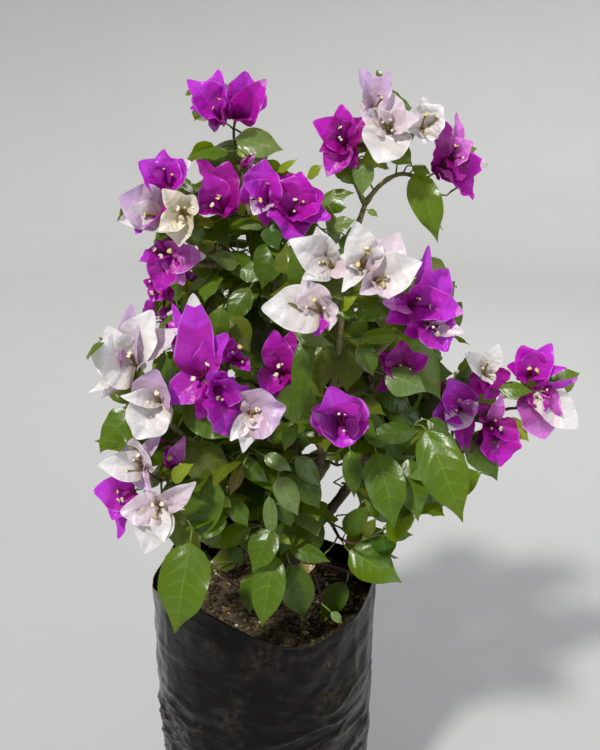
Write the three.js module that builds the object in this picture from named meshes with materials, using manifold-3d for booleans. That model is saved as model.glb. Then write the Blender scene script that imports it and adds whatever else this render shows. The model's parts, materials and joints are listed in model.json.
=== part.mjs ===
// A young bougainvillea bush in a black film nursery bag: bag, soil, stem, leaders, limbs, and the masses of bloom and leaf.
// Millimetres. X runs to the right, Y away from the front, Z up, from the middle of the bag's flat underside.
import * as THREE from "three";
import { mergeVertices } from "three/addons/utils/BufferGeometryUtils.js";
import Module from "manifold-3d";

const wasm = await Module();
wasm.setup();

// Bag: a film tube 254 mm wide when flat, stood up and filled.
const flatWidth = 254;
const bagRadius = flatWidth / Math.PI;
const bagFootRadius = 78;
const bagHeight = 220;
const filmWall = 1.6;
const footRounding = 9;
const bagSides = 24;

// The cut rim waves: three lobes round the mouth and one tilt, highest at the front left.
const rimLobeRise = 12;
const rimTiltRise = 5;
const rimPeakAngle = THREE.MathUtils.degToRad(-125);
const rimWaveStart = 150;

// Soil fills the bag to a rough surface some way below the rim, with a flat spot under the stem.
const soilLevel = 190;
const soilRoughness = 2.5;
const soilRings = [0, 14, 34, 58];
const soilSides = 18;

// Clearance between pieces that touch.
const gap = 0.3;

// Stem: a flared foot on the soil, leaning a little to the right up to the first fork.
const stemFoot = [18, 4];
const stemFlareRadius = 10;
const stemRadius = 6;
const flareHeight = 0.35; // share of the stem's length
const stemSteps = 6;
const stemSides = 9;

// Forks, where the leaders part. The first stands at the head of the stem.
const forks = {
  first: [25, 2, 240],
  left: [-20, -16, 312],
  middle: [20, 10, 388],
  crown: [6, 8, 444],
  topRight: [66, 4, 478],
  front: [46, -36, 372],
  right: [76, -8, 322],
  rear: [24, 48, 330],
};

// Leaders run from fork to fork: name, fork below, fork above, radius at each end, sideways bow.
const leaders = [
  ["leader_left", "first", "left", 4.2, 2.8, [-6, -4, -4]],
  ["leader_centre", "first", "middle", 4.8, 3.2, [-5, 4, 0]],
  ["leader_right", "first", "right", 4.2, 2.8, [6, 0, -6]],
  ["leader_rear", "first", "rear", 4.0, 2.6, [0, 6, -4]],
  ["leader_front", "first", "front", 3.8, 2.4, [4, -8, 0]],
  ["leader_crown", "middle", "crown", 3.0, 2.3, [-2, 0, 0]],
  ["leader_top_right", "middle", "topRight", 3.0, 2.3, [8, -2, -4]],
];

// Masses of bloom and leaf. Each lobe is its middle and its half sizes in X, Y and Z; lobes of one mass are joined.
const masses = {
  top_left_spray: [[-19, 10, 532, 25, 22, 25], [-13, 12, 508, 27, 22, 13]],
  upper_left_spray: [[-48, -15, 484, 34, 27, 29], [-51, -18, 446, 20, 20, 22]],
  top_middle_spray: [[17, -12, 484, 26, 24, 25]],
  top_right_spray: [[50, -2, 516, 18, 20, 24], [79, -8, 528, 29, 24, 27]],
  top_right_outer_spray: [[119, 0, 504, 19, 20, 27], [106, 0, 484, 15, 16, 25]],
  centre_front_spray: [[48, -74, 449, 43, 24, 31]],
  centre_right_spray: [[95, -58, 433, 23, 23, 30]],
  right_inner_spray: [[141, -8, 344, 29, 26, 35], [149, -8, 371, 17, 15, 16]],
  right_outer_spray: [[186, 0, 356, 27, 25, 34]],
  left_spray: [[-69, -54, 403, 28, 24, 28], [-62, -54, 370, 20, 20, 24]],
  left_middle_spray: [[-28, -60, 397, 23, 22, 40], [2, -72, 369, 17, 17, 20]],
  low_left_spray: [[-67, -68, 319, 31, 24, 37]],
  low_centre_spray: [[46, -84, 373, 19, 18, 20]],
  upper_leaves: [[-10, 4, 438, 35, 28, 31]],
  centre_leaves: [[16, 10, 354, 26, 28, 46]],
  right_leaves: [[94, 6, 360, 29, 28, 40]],
  lower_right_leaves: [[93, -52, 320, 38, 25, 31]],
  lower_left_leaves: [[-30, -46, 310, 30, 25, 36]],
  lower_centre_leaves: [[20, -18, 280, 42, 33, 38]],
  skirt_left_leaves: [[-48, -84, 269, 17, 16, 28]],
  skirt_front_leaves: [[8, -50, 240, 21, 17, 26]],
  skirt_right_leaves: [[74, -22, 255, 28, 20, 20]],
  left_side_leaves: [[-80, -14, 340, 17, 22, 23]],
  back_high_spray: [[-14, 54, 472, 34, 30, 34]],
  back_left_spray: [[-58, 44, 398, 32, 34, 38]],
  back_middle_spray: [[22, 84, 404, 40, 30, 42]],
  back_right_spray: [[104, 60, 396, 36, 34, 38]],
  back_low_left_leaves: [[-48, 60, 316, 38, 34, 38]],
  back_low_right_leaves: [[70, 64, 308, 42, 34, 38]],
};

// Limbs run from a fork into a mass: fork, mass, radius at the fork, sideways bow.
const limbs = [
  ["left", "left_spray", 2.2, [-8, 0, -6]],
  ["left", "left_middle_spray", 2.2, [6, -6, 0]],
  ["left", "low_left_spray", 2.0, [-4, 0, 8]],
  ["left", "left_side_leaves", 1.9, [-4, 0, 6]],
  ["crown", "top_left_spray", 2.0, [-6, 0, 0]],
  ["crown", "upper_left_spray", 2.0, [-4, 0, -6]],
  ["crown", "top_middle_spray", 1.8, [4, -4, 0]],
  ["topRight", "top_right_spray", 2.0, [-4, 0, 4]],
  ["topRight", "top_right_outer_spray", 2.0, [0, 0, 30]],
  ["front", "centre_front_spray", 2.0, [4, 4, 0]],
  ["front", "centre_right_spray", 2.0, [4, 0, -6]],
  ["front", "low_centre_spray", 1.8, [0, -4, -4]],
  ["right", "right_inner_spray", 2.3, [4, 0, 8]],
  ["right", "lower_right_leaves", 2.0, [4, 0, 6]],
  ["rear", "back_high_spray", 2.4, [-6, 4, 0]],
  ["rear", "back_left_spray", 2.2, [-8, 4, 0]],
  ["rear", "back_middle_spray", 2.2, [0, 6, -4]],
  ["rear", "back_right_spray", 2.2, [6, 4, -6]],
  ["rear", "back_low_left_leaves", 2.0, [0, 4, 6]],
  ["rear", "back_low_right_leaves", 2.0, [0, 4, 6]],
];
const limbTipShare = 0.7; // a limb's radius where it ends, as a share of its radius at the fork
const limbSteps = 3;
const limbSides = 5;
const leaderSteps = 4;
const leaderSides = 6;
const insideMass = 0.5; // a limb ends where it is this deep in a lobe: 1 is the lobe's skin, 0 its middle
const fineLumpSize = 1150; // a lobe is faceted more finely where its half width times its half height is over this

// A closed mesh as a solid, and back.
function solidOf(geometry) {
  const bare = geometry.clone();
  bare.deleteAttribute("normal");
  bare.deleteAttribute("uv");
  const merged = mergeVertices(bare, 1e-3);
  return new wasm.Manifold(
    new wasm.Mesh({
      numProp: 3,
      vertProperties: new Float32Array(merged.attributes.position.array),
      triVerts: new Uint32Array(merged.index.array),
    }),
  );
}

function geometryOf(solid) {
  const mesh = solid.getMesh();
  const geometry = new THREE.BufferGeometry();
  geometry.setAttribute("position", new THREE.BufferAttribute(mesh.vertProperties, 3));
  geometry.setIndex(new THREE.BufferAttribute(mesh.triVerts, 1));
  geometry.computeVertexNormals();
  return geometry;
}

function eachVertex(geometry, change) {
  const position = geometry.attributes.position;
  const point = new THREE.Vector3();
  for (let i = 0; i < position.count; i++) {
    point.fromBufferAttribute(position, i);
    change(point);
    position.setXYZ(i, point.x, point.y, point.z);
  }
  return geometry;
}

// A profile of [radius, height] pairs turned round the Z axis.
function turned(profile, sides) {
  const points = profile.map(([radius, height]) => new THREE.Vector2(radius, height));
  return new THREE.LatheGeometry(points, sides).rotateX(Math.PI / 2);
}

// How far the rim rises above its mean height in a direction round the mouth.
function rimRise(angle) {
  const turn = angle - rimPeakAngle;
  return rimTiltRise * Math.cos(turn) + rimLobeRise * Math.cos(3 * turn);
}

function bag() {
  const innerRadius = bagRadius - filmWall;
  const innerFoot = bagFootRadius - filmWall;
  const profile = [
    [0, 0],
    [bagFootRadius - footRounding, 0],
    [bagFootRadius - 0.3 * footRounding, 0.3 * footRounding],
    [bagFootRadius, footRounding],
    [bagRadius, rimWaveStart],
    [bagRadius, bagHeight],
    [innerRadius, bagHeight],
    [innerRadius, rimWaveStart],
    [innerFoot, footRounding],
    [innerFoot - footRounding, filmWall],
    [0, filmWall],
  ];
  const geometry = turned(profile, bagSides);
  return eachVertex(geometry, (p) => {
    const share = THREE.MathUtils.smoothstep(p.z, rimWaveStart, bagHeight);
    p.z += share * rimRise(Math.atan2(p.y, p.x));
  });
}

function soil() {
  const clear = filmWall + gap;
  const topRadius = bagRadius - clear - 1;
  const footR = bagFootRadius - clear - 1;
  const profile = [
    [0, clear],
    [footR - footRounding, clear],
    [footR, footRounding + gap],
    [topRadius, rimWaveStart],
    [topRadius, soilLevel - 3],
    ...soilRings.toReversed().map((radius) => [radius, soilLevel]),
  ];
  const geometry = turned(profile, soilSides);
  return eachVertex(geometry, (p) => {
    const out = Math.hypot(p.x - stemFoot[0], p.y - stemFoot[1]);
    const isSurface = p.z > soilLevel - 1;
    const rough = soilRoughness * THREE.MathUtils.smoothstep(out, stemFlareRadius + 8, 50);
    if (isSurface) p.z += rough * (Math.sin(p.x * 0.11 + 1) + Math.cos(p.y * 0.13 + p.x * 0.05)) * 0.7;
  });
}

// A round limb bent along a curve. radiusAt gives its radius from 0, its start, to 1, its end; grow swells it all over.
function bent(curve, radiusAt, steps, sides, grow = 0) {
  const length = curve.getLength();
  const profile = [[0, -grow]];
  for (let i = 0; i <= steps; i++) {
    const share = i / steps;
    profile.push([radiusAt(share) + grow, share * (length + 2 * grow) - grow]);
  }
  profile.push([0, length + grow]);
  return eachVertex(turned(profile, sides), (p) => {
    const along = p.z / length;
    const held = THREE.MathUtils.clamp(along, 0, 1);
    const tangent = curve.getTangentAt(held);
    const middle = curve.getPointAt(held).addScaledVector(tangent, (along - held) * length);
    const side = new THREE.Vector3(0, 1, 0).cross(tangent).normalize();
    const front = tangent.clone().cross(side);
    middle.addScaledVector(side, p.x).addScaledVector(front, p.y);
    p.copy(middle);
  });
}

function bowed(from, to, bow) {
  const start = new THREE.Vector3(...from);
  const end = new THREE.Vector3(...to);
  const middle = start.clone().lerp(end, 0.5).add(new THREE.Vector3(...bow));
  return new THREE.QuadraticBezierCurve3(start, middle, end);
}

function tapered(curve, startRadius, endRadius, steps, sides) {
  const radiusAt = (share) => THREE.MathUtils.lerp(startRadius, endRadius, share);
  return (grow) => bent(curve, radiusAt, steps, sides, grow);
}

// The stem stands upright on a flat cut, then leans to the first fork.
function stem() {
  const [x, y] = stemFoot;
  const foot = soilLevel + gap;
  const first = new THREE.Vector3(...forks.first);
  const curve = new THREE.QuadraticBezierCurve3(
    new THREE.Vector3(x, y, foot),
    new THREE.Vector3(x, y, foot + 0.45 * (first.z - foot)),
    first,
  );
  const radiusAt = (share) => {
    const flare = Math.max(0, 1 - share / flareHeight) ** 2;
    return stemRadius * (1 - 0.12 * share) + (stemFlareRadius - stemRadius) * flare;
  };
  return (grow) => bent(curve, radiusAt, stemSteps, stemSides, grow);
}

// How deep a point lies in the deepest of a mass's lobes: 0 at its middle, 1 at its skin.
function depthIn(lobes, point) {
  const depths = lobes.map(([x, y, z, halfX, halfY, halfZ]) =>
    Math.hypot((point.x - x) / halfX, (point.y - y) / halfY, (point.z - z) / halfZ),
  );
  return Math.min(...depths);
}

// A limb heads for the nearest lobe's middle and stops once it is well inside it.
function limb([forkName, massName, radius, bow]) {
  const fork = new THREE.Vector3(...forks[forkName]);
  const lobes = masses[massName];
  const middles = lobes.map((lobe) => new THREE.Vector3(...lobe.slice(0, 3)));
  const nearest = middles.reduce((a, b) => (a.distanceTo(fork) <= b.distanceTo(fork) ? a : b));
  const whole = bowed(forks[forkName], nearest.toArray(), bow);
  let share = 1;
  while (share > 0.3 && depthIn(lobes, whole.getPointAt(share)) < insideMass) share -= 0.02;
  const end = whole.getPointAt(share);
  const curve = bowed(forks[forkName], end.toArray(), bow.map((b) => b * share));
  return tapered(curve, radius, radius * limbTipShare, limbSteps, limbSides);
}

// An uneven lump fitted to its half sizes. Low waves over the sphere, set by the lump's number, make it lopsided.
function lump([x, y, z, halfX, halfY, halfZ], number, grow = 0) {
  const detail = halfX * halfZ > fineLumpSize ? 2 : 1;
  const geometry = new THREE.IcosahedronGeometry(1, detail);
  const phase = number * 2.4;
  eachVertex(geometry, (p) => {
    const wave = Math.sin(3 * p.x + phase) + Math.sin(3.4 * p.y + 2 * phase) + Math.sin(2.8 * p.z - phase);
    const ripple = Math.sin(7 * p.x - phase) * Math.cos(6 * p.z + phase);
    p.multiplyScalar(1 + 0.06 * wave + 0.05 * ripple);
  });
  geometry.computeBoundingBox();
  const size = geometry.boundingBox.getSize(new THREE.Vector3());
  const middle = geometry.boundingBox.getCenter(new THREE.Vector3());
  return geometry
    .translate(-middle.x, -middle.y, -middle.z)
    .scale((2 * (halfX + grow)) / size.x, (2 * (halfY + grow)) / size.y, (2 * (halfZ + grow)) / size.z)
    .translate(x, y, z);
}

function joined(geometries) {
  return geometries.map(solidOf).reduce((a, b) => a.add(b));
}

const colours = {
  film: new THREE.MeshStandardMaterial({ color: 0x1b1c1e, roughness: 0.42, metalness: 0 }),
  soil: new THREE.MeshStandardMaterial({ color: 0x3b2f26, roughness: 0.95, metalness: 0 }),
  bark: new THREE.MeshStandardMaterial({ color: 0x6b5a45, roughness: 0.85, metalness: 0 }),
  leaf: new THREE.MeshStandardMaterial({ color: 0x3f6a1c, roughness: 0.45, metalness: 0 }),
  bloom: new THREE.MeshStandardMaterial({ color: 0xb03ab8, roughness: 0.6, metalness: 0 }),
};

// Every piece as a recipe: grown gives it swollen by the clearance, which is what later pieces are cut by.
const recipes = [
  { name: "nursery_bag", colour: colours.film, whole: (grow) => (grow ? null : solidOf(bag())) },
  { name: "soil", colour: colours.soil, whole: (grow) => (grow ? null : solidOf(soil())) },
  { name: "stem", colour: colours.bark, whole: (grow) => solidOf(stem()(grow)) },
];
for (const [name, below, above, startRadius, endRadius, bow] of leaders) {
  const shape = tapered(bowed(forks[below], forks[above], bow), startRadius, endRadius, leaderSteps, leaderSides);
  recipes.push({ name, colour: colours.bark, whole: (grow) => solidOf(shape(grow)) });
}
for (const entry of limbs) {
  const shape = limb(entry);
  const name = "limb_" + entry[1].replace(/_(spray|leaves)$/, "");
  recipes.push({ name, colour: colours.bark, whole: (grow) => solidOf(shape(grow)) });
}
for (const [index, [name, lobes]] of Object.entries(masses).entries()) {
  const colour = name.endsWith("spray") ? colours.bloom : colours.leaf;
  const whole = (grow) => joined(lobes.map((lobe, i) => lump(lobe, index + 7 * i, grow)));
  recipes.push({ name, colour, whole });
}

// Each piece is cut back from the pieces before it, so that neighbours meet with the clearance between them.
const bush = new THREE.Group();
const before = [];
for (const { name, colour, whole } of recipes) {
  let solid = whole(0);
  for (const cutter of before) solid = solid.subtract(cutter);
  const largest = solid.decompose().reduce((a, b) => (a.volume() >= b.volume() ? a : b));
  const mesh = new THREE.Mesh(geometryOf(largest), colour);
  mesh.name = name;
  bush.add(mesh);
  const grown = whole(gap);
  if (grown) before.push(grown);
}

export default bush;
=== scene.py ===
import json
import math

import bmesh
import bpy
import numpy as np
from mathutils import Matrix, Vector, noise
from mathutils.bvhtree import BVHTree

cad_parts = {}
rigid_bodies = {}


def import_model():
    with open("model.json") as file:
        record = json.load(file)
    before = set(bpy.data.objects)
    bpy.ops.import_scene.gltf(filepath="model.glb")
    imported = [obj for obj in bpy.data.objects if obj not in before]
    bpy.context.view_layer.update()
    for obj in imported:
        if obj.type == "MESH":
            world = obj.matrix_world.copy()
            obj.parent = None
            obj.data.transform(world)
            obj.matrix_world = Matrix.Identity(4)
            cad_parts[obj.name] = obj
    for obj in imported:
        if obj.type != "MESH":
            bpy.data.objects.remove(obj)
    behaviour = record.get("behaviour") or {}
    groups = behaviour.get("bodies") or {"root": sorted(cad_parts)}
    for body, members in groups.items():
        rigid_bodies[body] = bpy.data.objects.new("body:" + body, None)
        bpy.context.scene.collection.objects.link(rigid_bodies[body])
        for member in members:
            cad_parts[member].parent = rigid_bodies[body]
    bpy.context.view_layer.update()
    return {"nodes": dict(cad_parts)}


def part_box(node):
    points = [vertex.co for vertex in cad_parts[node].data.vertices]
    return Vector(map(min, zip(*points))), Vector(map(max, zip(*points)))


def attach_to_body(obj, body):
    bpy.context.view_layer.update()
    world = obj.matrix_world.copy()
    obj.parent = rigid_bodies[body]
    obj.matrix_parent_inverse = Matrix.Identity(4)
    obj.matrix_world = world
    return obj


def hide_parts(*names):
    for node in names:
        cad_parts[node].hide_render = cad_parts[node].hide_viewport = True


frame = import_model()

# Lengths are in millimetres until a piece is made.
MM = 0.001


def dice(word):
    """Random draws that are the same each run, and don't change when another part draws more."""
    return np.random.default_rng([7, *word.encode()])


def picked(rng, things):
    """One of a list, drawn at random."""
    return things[int(rng.integers(len(things)))]


# Camera: it looks along +Y and down. Places read off the photo are pixels of its 600 x 750 frame.
PICTURE_WIDE, PICTURE_HIGH = 600, 750
FOCAL_PIXELS = 750
EYE = np.array((26.0, -466.0, 533.0))
LOOK_DOWN = math.radians(19.5)
RIGHT = np.array((1.0, 0.0, 0.0))
ABOVE = np.array((0.0, math.sin(LOOK_DOWN), math.cos(LOOK_DOWN)))
TOWARDS = np.array((0.0, -math.cos(LOOK_DOWN), math.sin(LOOK_DOWN)))
UP = np.array((0.0, 0.0, 1.0))


def make_camera():
    data = bpy.data.cameras.new("camera")
    data.sensor_width = 36
    data.lens = 36 * FOCAL_PIXELS / PICTURE_HIGH
    data.clip_start, data.clip_end = 0.01, 50
    camera = bpy.data.objects.new("camera", data)
    camera.location = EYE * MM
    camera.rotation_euler = (math.pi / 2 - LOOK_DOWN, 0, 0)
    bpy.context.scene.collection.objects.link(camera)
    bpy.context.scene.camera = camera


def sighted(pixel, depth):
    """The point at that depth along Y which the camera sees at a pixel."""
    right = (pixel[0] - PICTURE_WIDE / 2) / FOCAL_PIXELS
    below = (pixel[1] - PICTURE_HIGH / 2) / FOCAL_PIXELS
    ray = RIGHT * right - ABOVE * below - TOWARDS
    return EYE + ray * (depth - EYE[1]) / ray[1]


def seen_at(point):
    """The pixel where the camera sees a point, and its distance."""
    ray = np.asarray(point) - EYE
    away = -ray @ TOWARDS
    scale = FOCAL_PIXELS / away
    return np.array((PICTURE_WIDE / 2 + ray @ RIGHT * scale, PICTURE_HIGH / 2 - ray @ ABOVE * scale)), away


def all_seen(points):
    """A row for each point: its pixel and distance."""
    return np.array([np.append(*seen_at(point)) for point in points])


# Vectors and curves
def unit(v):
    return v / max(np.linalg.norm(v), 1e-9)


def square_to(v, axis):
    """v without its share along axis, as a unit vector."""
    return unit(v - axis * (v @ axis))


def turned(v, axis, degrees):
    angle = math.radians(degrees)
    c, s = math.cos(angle), math.sin(angle)
    return v * c + np.cross(axis, v) * s + axis * (axis @ v) * (1 - c)


def between(start, end, shares):
    """Points on a straight line, at shares of its way."""
    return [start + (end - start) * share for share in shares]


def curve(handles, t):
    """Points of a cubic curve, at shares t of its way."""
    a, b, c, d = handles
    t = np.asarray(t, float)[:, None]
    return (1 - t) ** 3 * a + 3 * (1 - t) ** 2 * t * b + 3 * (1 - t) * t**2 * c + t**3 * d


def curve_way(handles, t):
    """Unit directions along a cubic curve."""
    a, b, c, d = handles
    t = np.asarray(t, float)[:, None]
    way = (1 - t) ** 2 * (b - a) + 2 * (1 - t) * t * (c - b) + t**2 * (d - c)
    return way / np.maximum(np.linalg.norm(way, axis=1), 1e-9)[:, None]


def pulled(start, end, corner):
    """Handles of the curve from start to end that a corner pulls towards itself."""
    return start, start + (corner - start) * 2 / 3, end + (corner - end) * 2 / 3, end


def bowed(start, end, bow):
    """Handles of the curve from start to end whose middle is pulled aside by half of bow."""
    start, end = np.array(start, float), np.array(end, float)
    return pulled(start, end, (start + end) / 2 + np.array(bow, float))


def lengths_along(points):
    """How far along its line each point lies."""
    return np.append(0, np.cumsum(np.linalg.norm(np.diff(points, axis=0), axis=1)))


# Nets: small faces made once by mesh operators, then laid many times on worked-out points
class Net:
    def __init__(self, mesh):
        mesh.verts.index_update()
        self.points = np.array([v.co for v in mesh.verts])
        self.faces = [[v.index for v in f.verts] for f in mesh.faces]
        self.corners = np.concatenate(self.faces)
        self.sizes = np.array([len(f) for f in self.faces])
        mesh.free()

    def mean(self, values):
        """The mean of a value over each face's corners."""
        return np.add.reduceat(values[self.corners], np.cumsum(self.sizes) - self.sizes) / self.sizes


def blade_net(veins, base_rows, vein_share, columns, slant, outline):
    """A leaf or bract from its base to its tip. Its rows follow the side veins, with a narrow row for each.
    outline holds the powers that the half width rises and falls by, and how far its tip is drawn out."""
    first, last = 0.10, 0.86
    places = [first * k / base_rows for k in range(base_rows)]
    edges = [0] * len(places)
    for k in range(veins):
        at = first + (last - first) * k / (veins - 1)
        step = (last - first) / (veins - 1)
        places += [at, at, at + step / 2]
        edges += [-1, 1, 0]
    places[-1] = 0.93
    places += [0.97, 1.0]
    edges += [0, 0]
    columns = [-c for c in reversed(columns)] + list(columns)

    mesh = bmesh.new()
    bmesh.ops.create_grid(mesh, x_segments=len(columns) - 1, y_segments=len(places) - 1, size=1)
    for end in (-1, 1):
        row = [v for v in mesh.verts if abs(v.co.y - end) < 1e-4]
        bmesh.ops.pointmerge(mesh, verts=row, merge_co=(0, end, 0))
    net = Net(mesh)

    row = (net.points[:, 1] + 1) / 2 * (len(places) - 1)
    column = (net.points[:, 0] + 1) / 2 * (len(columns) - 1)
    pole = (row < 0.01) | (row > len(places) - 1.01)
    net.u = np.where(pole, 0.0, np.interp(column, range(len(columns)), columns))
    far = np.abs(net.u)
    at = np.interp(row, range(len(places)), places)
    edge = np.interp(row, range(len(places)), edges)
    sweep = slant * (1 - at) * np.minimum(1, at / first) * far**1.25
    net.s = at + edge * vein_share * (1 - 0.75 * far) + sweep
    net.outline = outline
    net.swell = np.where(np.abs(edge) < 0.01, np.minimum(1, at / first), 0.0) * (at < last)

    band = np.floor(net.mean(row) + 1e-6).astype(int)
    vein_bands = [i for i in range(len(places) - 1) if edges[i] == -1]
    middle = net.mean(far)
    net.vein = np.isin(band, vein_bands) & (middle < 0.9)
    net.midrib = (net.mean(net.u) ** 2 < 1e-6) & (middle < columns[len(columns) // 2] * 1.01)
    net.edge = middle > 0.93
    net.face_at = net.mean(at)
    return net


def tube_net(sides, steps):
    """A closed tube of a number of sides and steps."""
    key = (sides, steps)
    if key not in tube_nets:
        mesh = bmesh.new()
        bmesh.ops.create_cone(mesh, cap_ends=True, segments=sides, radius1=1, radius2=1, depth=1)
        if steps > 1:
            upright = [e for e in mesh.edges if abs(e.verts[0].co.z - e.verts[1].co.z) > 0.5]
            bmesh.ops.subdivide_edges(mesh, edges=upright, cuts=steps - 1, use_grid_fill=True)
        net = Net(mesh)
        net.ring = np.round((net.points[:, 2] + 0.5) * steps).astype(int)
        net.angle = np.arctan2(net.points[:, 1], net.points[:, 0])
        net.band = net.mean(net.ring.astype(float))
        tube_nets[key] = net
    return tube_nets[key]


tube_nets = {}


class Heap:
    """Small shapes of one kind, gathered into one piece."""

    def __init__(self):
        self.points, self.corners, self.sizes, self.slots = [], [], [], []
        self.tints = []
        self.count = 0

    def slot(self, tint):
        if tint not in self.tints:
            self.tints.append(tint)
        return self.tints.index(tint)

    def lay(self, net, points, tints):
        """tints is one material name, or one for each face."""
        self.points.append(points)
        self.corners.append(net.corners + self.count)
        self.sizes.append(net.sizes)
        self.count += len(points)
        if isinstance(tints, str):
            self.slots.append(np.full(len(net.sizes), self.slot(tints)))
        else:
            names, which = np.unique(tints, return_inverse=True)
            self.slots.append(np.array([self.slot(n) for n in names])[which])

    def piece(self, name, slot, *nodes):
        mesh = bpy.data.meshes.new(name)
        points, corners = np.concatenate(self.points) * MM, np.concatenate(self.corners)
        sizes = np.concatenate(self.sizes)
        mesh.vertices.add(len(points))
        mesh.vertices.foreach_set("co", points.astype(np.float32).ravel())
        mesh.loops.add(len(corners))
        mesh.loops.foreach_set("vertex_index", corners.astype(np.int32))
        mesh.polygons.add(len(sizes))
        mesh.polygons.foreach_set("loop_start", (np.cumsum(sizes) - sizes).astype(np.int32))
        for tint in self.tints:
            mesh.materials.append(finishes[tint])
        mesh.polygons.foreach_set("material_index", np.concatenate(self.slots).astype(np.int32))
        mesh.update(calc_edges=True)
        mesh.shade_smooth()
        placed(mesh, name, slot, *nodes)


def placed(mesh, name, slot, *nodes):
    """A finished mesh as a piece of the plant."""
    piece = bpy.data.objects.new(name, mesh)
    bpy.context.scene.collection.objects.link(piece)
    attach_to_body(piece, "root")
    if nodes:
        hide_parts(*nodes)


# Finishes
def linear(code):
    """An sRGB hex colour as linear numbers."""
    values = [int(code[i : i + 2], 16) / 255 for i in (1, 3, 5)]
    return [v / 12.92 if v <= 0.04045 else ((v + 0.055) / 1.055) ** 2.4 for v in values] + [1.0]


def add_node(tree, kind, feeds=None, **settings):
    """Adds a node. feeds gives each input its plain value, or the node or socket that feeds it."""
    made = tree.nodes.new("ShaderNode" + kind)
    for key, value in settings.items():
        setattr(made, key, value)
    for key, value in (feeds or {}).items():
        if isinstance(value, bpy.types.Node):
            value = next(socket for socket in value.outputs if socket.enabled)
        if isinstance(value, bpy.types.NodeSocket):
            tree.links.new(value, made.inputs[key])
        else:
            made.inputs[key].default_value = value
    return made


finishes = {}


def start_finish(name):
    """An empty material, its nodes, and Object coordinates in metres."""
    material = finishes[name] = bpy.data.materials.new(name)
    material.use_nodes = True
    tree = material.node_tree
    tree.nodes.clear()
    return tree, add_node(tree, "TexCoord").outputs["Object"]


def per_metre(size):
    """A pattern scale from the size of one cell in millimetres."""
    return 1 / (size * MM)


def grown_skin(name, colour, deeper, mottle, rough, grain, grain_height, glow, glow_share, shine=0.5):
    """A living skin: two close shades in soft patches, a fine raised grain, and some light let through."""
    tree, place = start_finish(name)
    patches = add_node(tree, "TexNoise", {"Vector": place, "Scale": per_metre(mottle), "Detail": 3.0})
    shades = {"A": linear(colour), "B": linear(deeper), "Factor": patches}
    cells = add_node(tree, "TexVoronoi", {"Vector": place, "Scale": per_metre(grain)})
    bump = add_node(tree, "Bump", {"Height": cells, "Strength": 0.6, "Distance": grain_height * MM})
    uneven = {"Value": patches, "To Min": rough - 0.07, "To Max": rough + 0.09}
    surface = {
        "Base Color": add_node(tree, "Mix", shades, data_type="RGBA"),
        "Roughness": add_node(tree, "MapRange", uneven),
        "Normal": bump,
        "Specular IOR Level": shine,
    }
    skin = add_node(tree, "BsdfPrincipled", surface)
    through = add_node(tree, "BsdfTranslucent", {"Color": linear(glow), "Normal": bump})
    both = add_node(tree, "MixShader", {0: glow_share, 1: skin, 2: through})
    add_node(tree, "OutputMaterial", {"Surface": both})


# Leaf: a living blade under a thin wax. The wax gives soft broad highlights, the cells a fine grain,
# and the thin blade glows yellower where light comes through it.
LEAF_TONES = {
    # name: blade, deeper shade, vein, glow
    # bright and pale are lighter copies of the blade that carry painted light and painted sheen; dark and
    # deep are darker copies that carry painted shade.
    "leaf_mid": ("#4d690c", "#3f580a", "#607a26", "#92aa1a"),
    "leaf_bright": ("#52700f", "#435d0b", "#668228", "#a0b61c"),
    "leaf_dark": ("#445e10", "#374e0c", "#556f26", "#80981a"),
    "leaf_deep": ("#26380c", "#1d2c08", "#364a1a", "#566a14"),
    "leaf_olive": ("#5b6812", "#4c580e", "#727e30", "#9ea41c"),
    "leaf_young": ("#7f9220", "#6d7f18", "#9aaa44", "#b6c22c"),
    "leaf_pale": ("#6d8548", "#5d7439", "#889e64", "#9cb048"),
    "leaf_cool": ("#3c5e1c", "#305016", "#54742f", "#78981e"),
    "leaf_rusty": ("#7a6a2c", "#6a5a24", "#8a7a40", "#a8943a"),
}
for tone, (blade, deeper, vein, glow) in LEAF_TONES.items():
    grown_skin(tone, blade, deeper, 9.0, 0.31, 1.8, 0.12, glow, 0.25, 0.5)
    grown_skin(tone + "_vein", vein, blade, 9.0, 0.38, 1.8, 0.05, glow, 0.22, 0.45)

# Bract: a papery petal-like leaf with no wax. It is matt, crinkled and thin enough to glow.
# Its colour changes from the throat out to the tip, so each tint has a skin for every zone of the way.
# The dark throat and inner zones are partly the bract's own colour and partly painted shade down in the cup.
BRACT_TINTS = {
    # name: throat, inner, body, outer, edge, glow; edge is a painted highlight along the rim
    "magenta": ("#6e0a46", "#a00c8c", "#b810b6", "#c022ca", "#d86ae2", "#e424ca"),
    "violet": ("#821060", "#b0189a", "#c024cc", "#be40de", "#de8cec", "#de46e8"),
    # deep and plum are darker copies of magenta and violet. Beside lighter bracts of the same bloom they are
    # painted shade; on the hidden blooms at the back deep varies the tone at random.
    "deep": ("#5a0840", "#860a68", "#9c0e8c", "#aa1ea4", "#c452be", "#c61eb8"),
    "plum": ("#441038", "#64145a", "#781e7a", "#883290", "#a45ea8", "#a038a4"),
    "rose": ("#8e2e70", "#b040a4", "#cc62ca", "#dc8ee0", "#ecb8ee", "#e68ae0"),
    "lilac": ("#a1868a", "#bfa2b6", "#cbb2d0", "#caa4dc", "#e6d4ec", "#e2c8ee"),
    "blush": ("#a58c80", "#cfb8c0", "#dccdd8", "#e4d5e6", "#f5eef4", "#f4e6f0"),
    "white": ("#b0a484", "#d6cdca", "#e6e2e3", "#ebe9ec", "#fcfbfc", "#f8f6f8"),
    "cream": ("#9c9246", "#c8bf98", "#e4dcc8", "#ece2dc", "#faf5e8", "#f4ecdc"),
}
PALE_TINTS = ("white", "cream", "blush", "lilac")
ZONE_ENDS = {"_throat": 0.13, "_inner": 0.30, "": 0.60, "_outer": 1.0}  # shares of the way to the tip
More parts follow.
